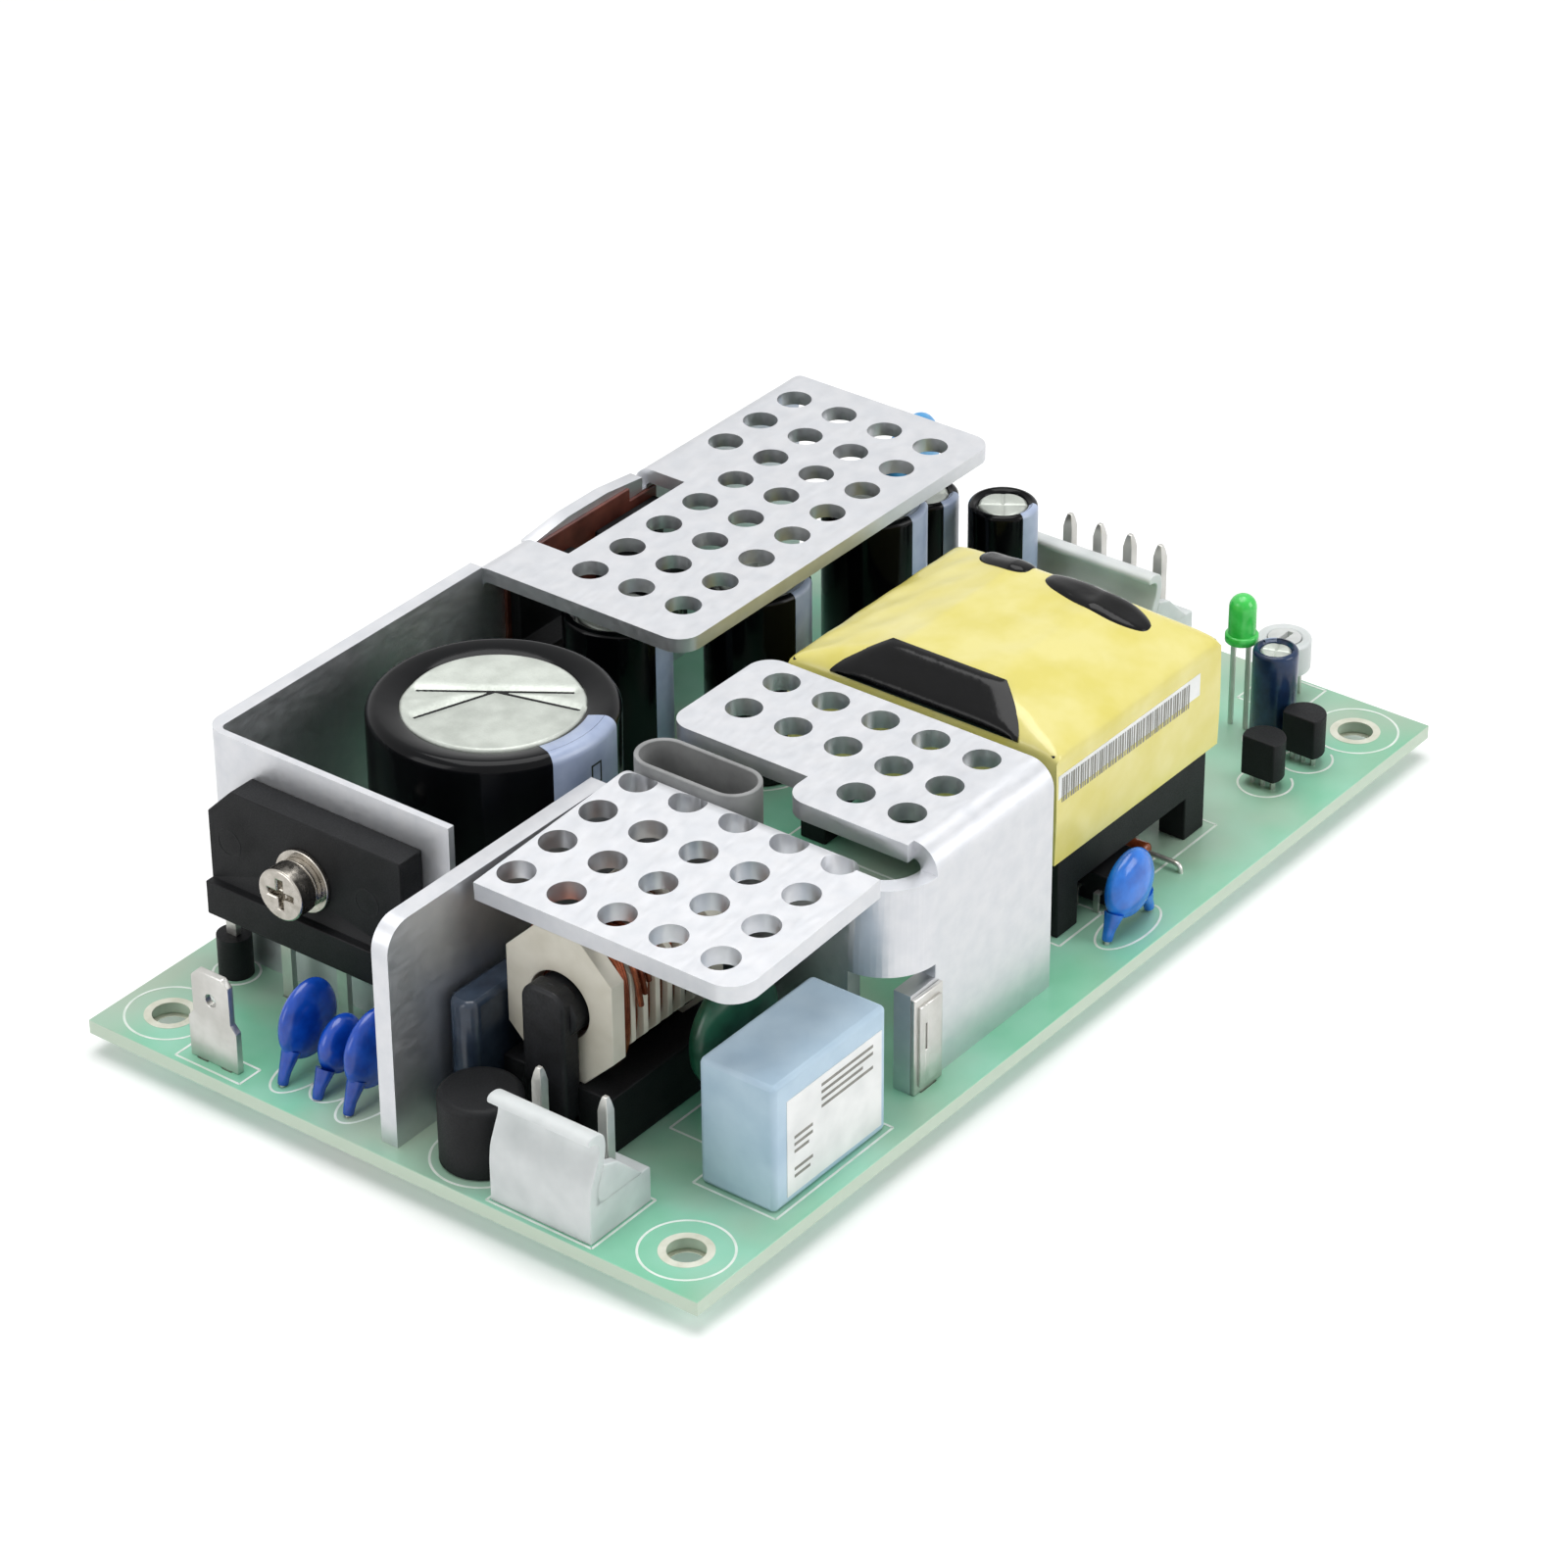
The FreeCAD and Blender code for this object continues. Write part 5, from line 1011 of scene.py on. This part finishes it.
# %% Glass diode, and every bare lead
diode_low, diode_high = solids("glass_diode")[0]
diode_x, diode_z = (diode_low[0] + diode_high[0]) / 2, (diode_low[2] + diode_high[2]) / 2
for sign, end in ((-1, diode_low[1]), (1, diode_high[1])):
    corners = [(diode_x, end - sign * 0.4, diode_z), (diode_x, end + sign * 3.9, diode_z),
               (diode_x, end + sign * 4.1, BOARD_TOP / MM - 0.3)]
    wires.append(tube(round_corners(corners, 0.7), 0.28, 10))
add_piece("bare_leads", metres(join(*wires)), tinned, ("component_leads",))
half_long, radius = (diode_high[1] - diode_low[1]) / 2, (diode_high[0] - diode_low[0]) / 2
profile = np.concatenate([[(0.3, -half_long)],
                          arc((radius - 0.45, -half_long + 0.45), 0.45, 270, 360, 5),
                          arc((radius - 0.45, half_long - 0.45), 0.45, 0, 90, 5),
                          [(0.3, half_long)]])
diode_centre = (diode_x, (diode_low[1] + diode_high[1]) / 2, diode_z)
add_piece("diode_capsule", metres(lathe(profile, diode_centre, "y", 32)), diode_glass,
          ("glass_diode",))
band = lathe([(radius - 0.1, half_long - 1.3), (radius + 0.02, half_long - 1.3),
              (radius + 0.02, half_long - 0.7), (radius - 0.1, half_long - 0.7)], diode_centre, "y", 32)
add_piece("diode_band", metres(band), print_dark)
print("capsule", round(2 * half_long, 2), "by", round(2 * radius, 2), "mm")


# %% [markdown]
# ## Circuit board
# The board is glass epoxy under a mint-green solder resist. Its cut edges show the pale laminate. Two
# materials would need the faces to be split, so one material mixes the two by where the surface faces.
# Where no copper lies behind the resist it looks greyer, in wide soft patches, and a noise of about the
# size of a copper area mixes that in.

# %% Laminate and resist
laminate = new_finish("solder resist on glass epoxy", "#8ccbae", 0.38, Coat_Weight=0.1)
resist = mottle(laminate, "#76c29d", "#98d2b9", 14 * MM)
grain(laminate, 0.7 * MM, 0.008 * MM, low=0.32, high=0.46)
tree = laminate.node_tree
surface = add_node(tree, "ShaderNodeNewGeometry")
facing = add_node(tree, "ShaderNodeSeparateXYZ", links={"Vector": surface.outputs["True Normal"]})
flat = add_node(tree, "ShaderNodeMath", {"operation": "ABSOLUTE"}, {0: facing.outputs["Z"]})
bare = add_node(tree, "ShaderNodeMapRange", {"From Min": 0.44, "From Max": 0.66, "To Max": 0.7},
                {"Value": add_noise(tree, 24 * MM, 3.0, (1, 1, 1))})
patches = add_node(tree, "ShaderNodeMixRGB", {"Color2": linear("#b6baab")},
                   {"Fac": bare.outputs["Result"], "Color1": resist.outputs["Color"]})
edge_mix = add_node(tree, "ShaderNodeMixRGB", {"Color1": linear("#bfd0bd")},
                    {"Fac": flat.outputs["Value"], "Color2": patches.outputs["Color"]})
tree.links.new(edge_mix.outputs["Color"], tree.nodes["Principled BSDF"].inputs["Base Color"])
soften("circuit_board", laminate, 0.08 * MM)
# Printed ink is thin, so some green shows through. The bare rings are the pale laminate itself.
silk_white = make_finish("white printed ink", "#e2ece4", 0.5, ("#d6e4d9", "#ecf2ec"), 2)
bare_ring = make_finish("bare laminate ring", "#d6d7c6", 0.5, ("#cccdba", "#e0e1d2"), 2)
print("finishes with the board's", len(bpy.data.materials))

# %% [markdown]
# A printed line is a flat strip of constant width along a polyline. It could be a texture, but a strip
# stays sharp at any distance. It is a few hundredths of a millimetre thick, which is enough to tell it
# from the resist.


# %% Printed lines
TOP = BOARD_TOP / MM
INK = 0.03
LINE = 0.25


def strip(path, width=LINE, closed=False, level=TOP):
    """A flat strip: each point moves half a width to either side of the line through its neighbours."""
    path = np.asarray(path, float)
    ahead = np.roll(path, -1, 0) - np.roll(path, 1, 0) if closed else np.gradient(path, axis=0)
    ahead /= np.maximum(np.linalg.norm(ahead, axis=1, keepdims=True), 1e-9)
    side = np.stack([-ahead[:, 1], ahead[:, 0]], axis=-1) * width / 2
    section = np.stack([path + side, path - side, path - side, path + side], axis=1)
    upper, lower = level + INK, level - 0.05
    heights = np.broadcast_to(np.array([upper, upper, lower, lower]), section.shape[:2])
    return grid(np.concatenate([section, heights[..., None]], axis=-1), wrap_u=closed, wrap_v=True)


def ring(x, y, radius, width, level=TOP):
    """A printed ring: points at one radius from its middle, joined to a closed strip."""
    angle = np.linspace(0, 2 * np.pi, 72, endpoint=False)
    circle = np.stack([x + radius * np.cos(angle), y + radius * np.sin(angle)], axis=-1)
    return strip(circle, width, True, level)


def frame_line(low, high, margin):
    """A printed rectangle around a box, one strip for each side."""
    x0, y0, x1, y1 = low[0] - margin, low[1] - margin, high[0] + margin, high[1] + margin
    corners = [(x0, y0), (x1, y0), (x1, y1), (x0, y1), (x0, y0)]
    return [strip([corners[n], corners[n + 1]]) for n in range(4)]


print("points of a ring", len(ring(0, 0, 1, LINE)[0]))

# %% [markdown]
# The outlines show where each part belongs, so they are worked out from the boxes of the CAD model: a
# frame for a square part, a ring for a can, an oval for a disc and an open arc for a small transistor.
# The bare rings around the mounting holes are wider strips, on both faces of the board. Some parts reach
# past the board, so their boxes are cut short first, and no frame runs off its edge.

# %% Outlines of the parts
BOARD_LOW, BOARD_HIGH = (-62.8, -37.4, 0), (62.8, 37.4, 90)
outlines = []
for node, margin in (("film_capacitor", 0.7), ("suppressor_capacitor", 0.5), ("transformer_bobbin", 1.0),
                     ("input_header_housing", 0.3), ("output_header_housing", 0.15),
                     ("optical_isolators", 0.5), ("trimmer_body", 0.5), ("varistor", 0.6)):
    for low, high in solids(node):
        outlines += frame_line(np.maximum(low, BOARD_LOW), np.minimum(high, BOARD_HIGH), margin)
for node, margin in (("fuse", 0.9), ("bulk_capacitor_sleeve", 0.7), ("output_capacitor_sleeves", 0.6),
                     ("slim_capacitor_sleeves", 0.5), ("small_capacitor_sleeve", 0.6),
                     ("ferrite_bead", 0.6)):
    for low, high in solids(node):
        outlines.append(ring(*((low + high) / 2)[:2], (high[0] - low[0]) / 2 + margin, LINE))
for node in ("input_disc_capacitors", "side_disc_capacitor", "far_disc_capacitor"):
    for low, high in solids(node):
        angle = np.linspace(0, 2 * np.pi, 60, endpoint=False)
        half = (high - low) / 2 + 0.7
        oval = np.stack([(low[0] + high[0]) / 2 + half[0] * np.cos(angle),
                         (low[1] + high[1]) / 2 + half[1] * np.sin(angle)], axis=-1)
        outlines.append(strip(oval, LINE, True))
for low, high in solids("small_transistors"):
    angle = np.linspace(-0.3 * np.pi, 1.3 * np.pi, 40)
    outlines.append(strip(np.stack([(low[0] + high[0]) / 2 - 2.9 * np.sin(angle),
                                    (low[1] + high[1]) / 2 + 2.9 * np.cos(angle)], axis=-1)))
low, high = solids("glass_diode")[0]
outlines += frame_line(low, high, 0.35)
low, high = solids("ground_tab")[0]
outlines += frame_line(low, high, 1.1)
hole_places = [(x, y) for x in (-57.785, 57.785) for y in (-32.385, 32.385)]
rings = [ring(x, y, 2.3, 0.8, level) for x, y in hole_places for level in (TOP, -INK)]
outlines += [ring(x, y, 4.6, LINE) for x, y in hole_places]
add_piece("printed_outlines", metres(join(*outlines)), silk_white)
add_piece("bare_hole_rings", metres(join(*rings)), bare_ring)
print("printed lines", len(outlines))

# %% [markdown]
# Underneath, each lead ends in a small cone of solder. The cones stand where the leads of the CAD model
# pass the board, and a leg that leans out has its joint at its outer end. Parts whose leads are hidden
# get a pair at the usual distance. A joint is a place and a width.

# %% Places of the solder joints
leads = ["bridge_rectifier_leads", "transformer_pins", "component_leads", "input_header_pins",
         "output_header_pins", "indicator_leads", "trimmer_leads", "small_transistor_leads",
         "isolator_leads"]
joints = []
for node in leads:
    for low, high in solids(node):
        middle, reach = (low + high) / 2, high[0] - low[0]
        x, wide = middle[0], 0.9 if reach > 0.9 or node == "component_leads" else 0.7
        if node == "component_leads" and reach > 0.7:
            leans_left = middle[0] < (-56 if middle[1] > 0 else 11)
            x = low[0] + 0.3 if leans_left else high[0] - 0.3
        joints.append((x, middle[1], wide))
for node, gap in (("bulk_capacitor_can", 5.0), ("output_capacitor_cans", 2.5),
                  ("slim_capacitor_cans", 1.75), ("small_capacitor_can", 1.0), ("fuse", 2.5),
                  ("ferrite_bead", 1.2)):
    for low, high in solids(node):
        middle = (low + high) / 2
        joints += [(middle[0] - gap, middle[1], 0.95), (middle[0] + gap, middle[1], 0.95)]
for node in ("suppressor_capacitor", "film_capacitor"):
    low, high = solids(node)[0]
    middle = (low + high) / 2
    half = (high[0] - low[0]) / 2 - 2.0
    joints += [(middle[0] - half, middle[1], 0.95), (middle[0] + half, middle[1], 0.95)]
for low, high in solids("switching_transistor"):
    middle = (low + high) / 2
    joints += [(middle[0], middle[1] + step, 0.9) for step in (-2.54, 0, 2.54)]
for low, high in solids("output_rectifiers"):
    middle = (low + high) / 2
    joints += [(middle[0] + step, middle[1], 0.9) for step in (-2.54, 0, 2.54)]
low, high = solids("choke_base")[0]
joints += [(x, y, 1.0) for x in (low[0] + 2.5, high[0] - 2.5) for y in (low[1] + 2, high[1] - 2)]
print("solder joints", len(joints))

# %% [markdown]
# Molten solder climbs the lead and spreads on the pad, so its outline is hollow: steep at the lead and
# flat at the rim. That profile is turned once for each joint, with few faces, because there are many of
# them.

# %% Solder joints
cone = [(0.28, -0.66), (0.4, -0.5), (0.62, -0.22), (0.95, -0.06), (1.2, -0.02), (1.2, 0.05)]
blobs = [lathe([(radius * wide, height) for radius, height in cone], (x, y, 0), segments=20)
         for x, y, wide in joints]
add_piece("solder_joints", metres(join(*blobs)), solder, sharp=60)
print("they reach", cone[0][1], "mm below the board")


# %% [markdown]
# ## Sheet metal, mouldings and small pieces
# The remaining CAD shapes are right as they are, and only need the slightly rounded edges that catch
# light. The radius, in millimetres, follows how each part is made: sheet and moulded bodies are rounder
# than cut metal.

# %% Softer edges on the CAD shapes
EDGES = [("rectifier_heatsink", aluminium, "aluminium", 0.25),
         ("switch_heatsink", aluminium, "aluminium", 0.25),
         ("heatsink_clips", tinned, "tinned_metal", 0.12),
         ("bridge_rectifier_body", epoxy_black, "moulding_black", 0.25),
         ("switching_transistor", epoxy_black, "moulding_black", 0.15),
         ("output_rectifiers", epoxy_black, "moulding_black", 0.15),
         ("transformer_bobbin", epoxy_black, "moulding_black", 0.15),
         ("small_transistors", epoxy_black, "moulding_black", 0.12),
         ("optical_isolators", epoxy_black, "moulding_black", 0.12),
         ("ferrite_bead", epoxy_black, "moulding_black", 0.3),
         ("transformer_core", ferrite, "ferrite", 0.2), ("rectifier_clamp", nickel, "nickel", 0.1),
         ("insulating_pad", pad_brown, "pad_brown", 0.08),
         ("film_capacitor", resin_slate, "resin_slate", 0.7),
         ("suppressor_capacitor", box_blue, "resin_pale_blue", 0.5),
         ("trimmer_body", nylon_white, "nylon_white", 0.2),
         ("silicone_tube", silicone, "silicone", 0.1), ("rectifier_screw", nickel, "nickel", 0.3),
         ("clamp_screw", nickel, "nickel", 0.2), ("flat_washer", nickel, "nickel", 0.08),
         ("spring_washer", nickel, "nickel", 0.08), ("ground_tab", tinned, "tinned_metal", 0.08)]
for node, finish, slot, bevel in EDGES:
    soften(node, finish, bevel * MM)
print("softened nodes", len(EDGES))

# %% [markdown]
# The fuse is a small moulded can with a rounded top, turned like the capacitors.

# %% Fuse
low, high = solids("fuse")[0]
fuse_centre = np.array([*((low + high) / 2)[:2], low[2]])
radius, tall = (high[0] - low[0]) / 2, high[2] - low[2]
profile = np.concatenate([[(radius - 0.2, 0), (radius, 0.2)],
                          arc((radius - 0.8, tall - 0.8), 0.8, 0, 90, 8), [(0.02, tall - 0.05)]])
add_piece("fuse_cap", metres(lathe(profile, fuse_centre)), epoxy_black, ("fuse",))
print("fuse", round(2 * radius, 2), "mm wide and", round(tall, 2), "mm tall")

# %% [markdown]
# The suppressor capacitor carries a white label with a few plain grey bars. Label and bars are flat
# boxes that stand out by less than a tenth of a millimetre, so they need no texture and stay sharp.

# %% Label of the suppressor capacitor
low, high = solids("suppressor_capacitor")[0]
label = block((low[0] + 1.9, low[1] - 0.06, low[2] + 0.9), (high[0] - 0.8, low[1] + 0.1, high[2] - 2.4))
add_piece("suppressor_label", metres(label), label_white)
front = low[1] - 0.09
bars = ((7.2, 15.2, 10.6), (7.2, 15.2, 9.8), (7.2, 13.6, 9.0), (7.2, 15.2, 8.2), (3.0, 5.8, 7.0),
        (3.0, 5.8, 6.2), (3.0, 5.2, 5.4), (3.0, 5.8, 3.4), (3.0, 5.4, 2.6))
lines = [block((low[0] + start, front, low[2] + level), (low[0] + end, low[1], low[2] + level + 0.32))
         for start, end, level in bars]
add_piece("suppressor_lines", metres(join(*lines)), print_grey)
print("bars", len(lines))


# %% [markdown]
# ## Headers and the indicator
# A wafer header is moulded nylon: a low block for the pins, and a thin wall that bends to latch the
# plug. Its section is a single outline with rounded corners, carried along the header, because every
# slice of it is the same. A rib stiffens the wall at both ends.


# %% Header housings
def housing(low, high, rib=1.0):
    """A wafer header from its box: a latch wall with a barb, a low block and a rib at both ends."""
    wall = np.array([(0, 0), (0, 4.6), (0.2, 6.3), (0.9, 7.9), (1.5, 9.2), (1.6, 10.4), (1.1, 10.9),
                     (0.1, 11.0), (0, 11.5), (0.4, 11.88), (1.4, 11.9), (2.3, 11.4), (2.55, 10.4),
                     (2.5, 9.2), (2.1, 7.8), (1.5, 6.4), (1.25, 5.2), (1.45, 4.3), (2.1, 4.0),
                     (8.7, 4.0), (8.9, 3.8), (8.9, 0)])
    wall = round_corners(wall, 0.45, 3) + (low[0], low[2])
    gusset = np.array([(1.0, 3.9), (7.7, 3.9), (4.3, 7.2), (2.2, 8.0), (1.2, 6.0)]) + (low[0], low[2])
    shapes = [plate(wall[:, ::-1], low[1], high[1], axis="y")]
    for start in (low[1], high[1] - rib):
        shapes.append(plate(gusset[:, ::-1], start, start + rib, axis="y"))
    return join(*shapes)


for node in ("input_header_housing", "output_header_housing"):
    low, high = solids(node)[0]
    add_piece(f"{node}_curved", metres(housing(low, high)), nylon_white, (node,),
              bevel=0.1 * MM, sharp=45)
    print(node, round(high[1] - low[1], 2), "mm long")


# %% [markdown]
# A square pin ends in a short tapered tip, so that it finds its way into the plug. The pin is a stack of
# square sections that get smaller towards both ends.


# %% Header pins
def pin(low, high, tip=1.5, end=0.42):
    """A square pin from its box: sections at the foot, below the tip and at the tip."""
    centre, half = (low[:2] + high[:2]) / 2, (high[0] - low[0]) / 2
    corners = np.array([(-1, -1), (1, -1), (1, 1), (-1, 1)]) * half
    levels = [(low[2] + 0.5, end), (low[2] + 1.2, 1), (high[2] - tip, 1), (high[2] - tip * 0.4, 0.72),
              (high[2], end)]
    sections = [np.column_stack([centre + corners * share, np.full(4, level)])
                for level, share in levels]
    return grid(np.array(sections), wrap_v=True)


for node in ("input_header_pins", "output_header_pins"):
    pins = [pin(low, high) for low, high in solids(node)]
    add_piece(f"{node}_tapered", metres(join(*pins)), tinned, (node,),
              bevel=0.06 * MM, sharp=30)
    print(node, len(pins))

# %% [markdown]
# The indicator is a dome on a flange, in tinted plastic that lets some light through. One profile,
# turned about its axis, gives the flange, the barrel and the dome.

# %% Indicator
low, high = solids("indicator")[0]
centre = (*((low + high) / 2)[:2], low[2])
flange, barrel = (high[0] - low[0]) / 2 - 0.1, 1.5
dome = high[2] - low[2] - barrel
profile = np.concatenate([[(flange - 0.1, 0), (flange, 0.1), (flange, 0.85), (flange - 0.1, 0.95),
                           (barrel, 1.0)], arc((0, dome), barrel, 0, 89, 12)])
add_piece("indicator_dome", metres(lathe(profile, centre, segments=40)), lens_green,
          ("indicator",), sharp=50)
print("dome", 2 * barrel, "mm wide")

# %% [markdown]
# The pins that push the bridge rectifier out of its mould leave two faint rings on its face. They are
# low raised rings rather than cuts, which need no change to the body.

# %% Mould marks on the bridge rectifier
low, high = solids("bridge_rectifier_body")[0]
outer, inner = 1.45 + 0.12, 1.45 - 0.12
section = [(inner, -0.02), (outer, -0.02), (outer, 0.035), (inner, 0.035)]
points, faces = turned(section, (0, 0, 0), steps=40)
rings = []
for y in (low[1] + 3.6, high[1] - 3.6):
    on_face = np.stack([low[0] - points[:, 2], y + points[:, 0], high[2] - 5.2 + points[:, 1]], axis=-1)
    rings.append((on_face, faces))
add_piece("bridge_mould_marks", metres(join(*rings)), epoxy_black)
print("mould marks", len(rings))

# %% [markdown]
# A clip is a thin strip with a raised, slotted panel, which is pressed in one stroke. The raised panel
# is four flat bars round the slot, on the side that faces away from the heatsink, with their edges
# rounded.

# %% Raised panels of the clips
PANEL = ((0.6, 1.5, 2.4, 11.6), (1.8, 4.1, 2.4, 11.6), (1.4, 1.9, 2.4, 6.4), (1.4, 1.9, 9.4, 11.6))
bars = []
for low, high in solids("heatsink_clips"):
    outward = -1 if low[1] < -20 else 1
    face = low[1] if outward < 0 else high[1]
    levels = sorted((face - outward * 0.05, face + outward * 0.28))
    for x0, x1, z0, z1 in PANEL:
        bars.append(block((low[0] + x0, levels[0], z0), (low[0] + x1, levels[1], z1)))
add_piece("clip_panels", metres(join(*bars)), tinned, bevel=0.1 * MM)
print("bars on the clips", len(bars))


# %% [markdown]
# ## Floor, light and camera
# The product stands on a plain white floor, which takes its soft shadow. A tiny glow keeps the floor
# white to the camera without more light on the part.

# %% Floor
FLOOR_Z = -2.2 * MM
floor_points = np.array([(-1, -1, 0), (1, -1, 0), (1, 1, 0), (-1, 1, 0)], float) * 3 + (0, 0, FLOOR_Z)
floor_mesh = bpy.data.meshes.new("floor")
floor_mesh.from_pydata(floor_points.tolist(), [], [[0, 1, 2, 3]])
floor = bpy.data.objects.new("floor", floor_mesh)
bpy.context.scene.collection.objects.link(floor)
floor_finish = new_finish("white paper floor", "#f6f6f6", 0.9, Emission_Color=(1, 1, 1, 1),
                          Emission_Strength=0.14)
floor_mesh.materials.append(floor_finish)
print("floor", round(FLOOR_Z / MM, 2), "mm")

# %% [markdown]
# The world is white where the camera sees it, also in reflections and through clear parts, so metal
# shows a bright room. It lights the part with much less, because the lamps do that, and colours render
# about as written.

# %% World
world = bpy.data.worlds.new("studio")
bpy.context.scene.world = world
world.use_nodes = True
tree = world.node_tree
rays = add_node(tree, "ShaderNodeLightPath")
direct = add_node(tree, "ShaderNodeMath", {"operation": "MAXIMUM"},
                  {0: rays.outputs["Is Camera Ray"], 1: rays.outputs["Is Transmission Ray"]})
seen = add_node(tree, "ShaderNodeMath", {"operation": "MAXIMUM"},
                {0: direct.outputs["Value"], 1: rays.outputs["Is Glossy Ray"]})
FILL = 0.24
strength = add_node(tree, "ShaderNodeMapRange", {"To Min": FILL, "To Max": 1.0},
                    {"Value": seen.outputs["Value"]})
sky = tree.nodes["Background"]
sky.inputs["Color"].default_value = (1, 1, 1, 1)
tree.links.new(strength.outputs["Result"], sky.inputs["Strength"])
print("light from the world", FILL)


# %% [markdown]
# Three large square lamps stand above, to the left behind and to the right in front. They are wide, so
# shadows are soft and the bent sheets show long even gradients.


# %% Lamps
def add_lamp(name, place, target, wide, power):
    """A square soft lamp that points at the target."""
    lamp = bpy.data.lights.new(name, "AREA")
    lamp.shape = "SQUARE"
    lamp.size = wide
    lamp.energy = power
    holder = bpy.data.objects.new(name, lamp)
    holder.location = place
    aim = Vector(target) - Vector(place)
    holder.rotation_euler = aim.to_track_quat("-Z", "Y").to_euler()
    bpy.context.scene.collection.objects.link(holder)


add_lamp("top lamp", (0.05, 0.05, 0.75), (0, 0, 0), 0.6, 4.6)
add_lamp("left lamp", (-0.75, 0.25, 0.35), (0, 0, 0.01), 0.5, 1.9)
add_lamp("right lamp", (0.3, -0.8, 0.4), (0, 0, 0.01), 0.5, 3.1)
print("lamps", len(bpy.data.lights))

# %% [markdown]
# The camera stands where the photograph was taken: about half a metre away, 52 degrees round from the
# board's long side and 32 degrees above it, with a lens of 120 mm. Its axes are worked out from the two
# angles and a small roll, which a Track To constraint could not give.

# %% Camera
camera_data = bpy.data.cameras.new("camera")
camera_data.sensor_width = 36
camera_data.lens = 120.349
camera_data.clip_start = 0.01
camera = bpy.data.objects.new("camera", camera_data)
bpy.context.scene.collection.objects.link(camera)
turn, rise, roll = math.radians(-52.4103), math.radians(31.7152), -0.0073593
back = Vector((math.sin(turn) * math.cos(rise), -math.cos(turn) * math.cos(rise), math.sin(rise)))
right = Vector((0, 0, 1)).cross(back).normalized()
up = back.cross(right)
level_right = right * math.cos(roll) + up * math.sin(roll)
level_up = up * math.cos(roll) - right * math.sin(roll)
axes = Matrix((level_right, level_up, back)).transposed().to_4x4()
place = level_right * -0.3572 + level_up * 9.882 + back * 540
camera.matrix_world = Matrix.Translation(place * MM) @ axes
bpy.context.scene.camera = camera
bpy.context.scene.view_settings.view_transform = "Standard"
print("camera", round((place * MM).length, 3), "m away")
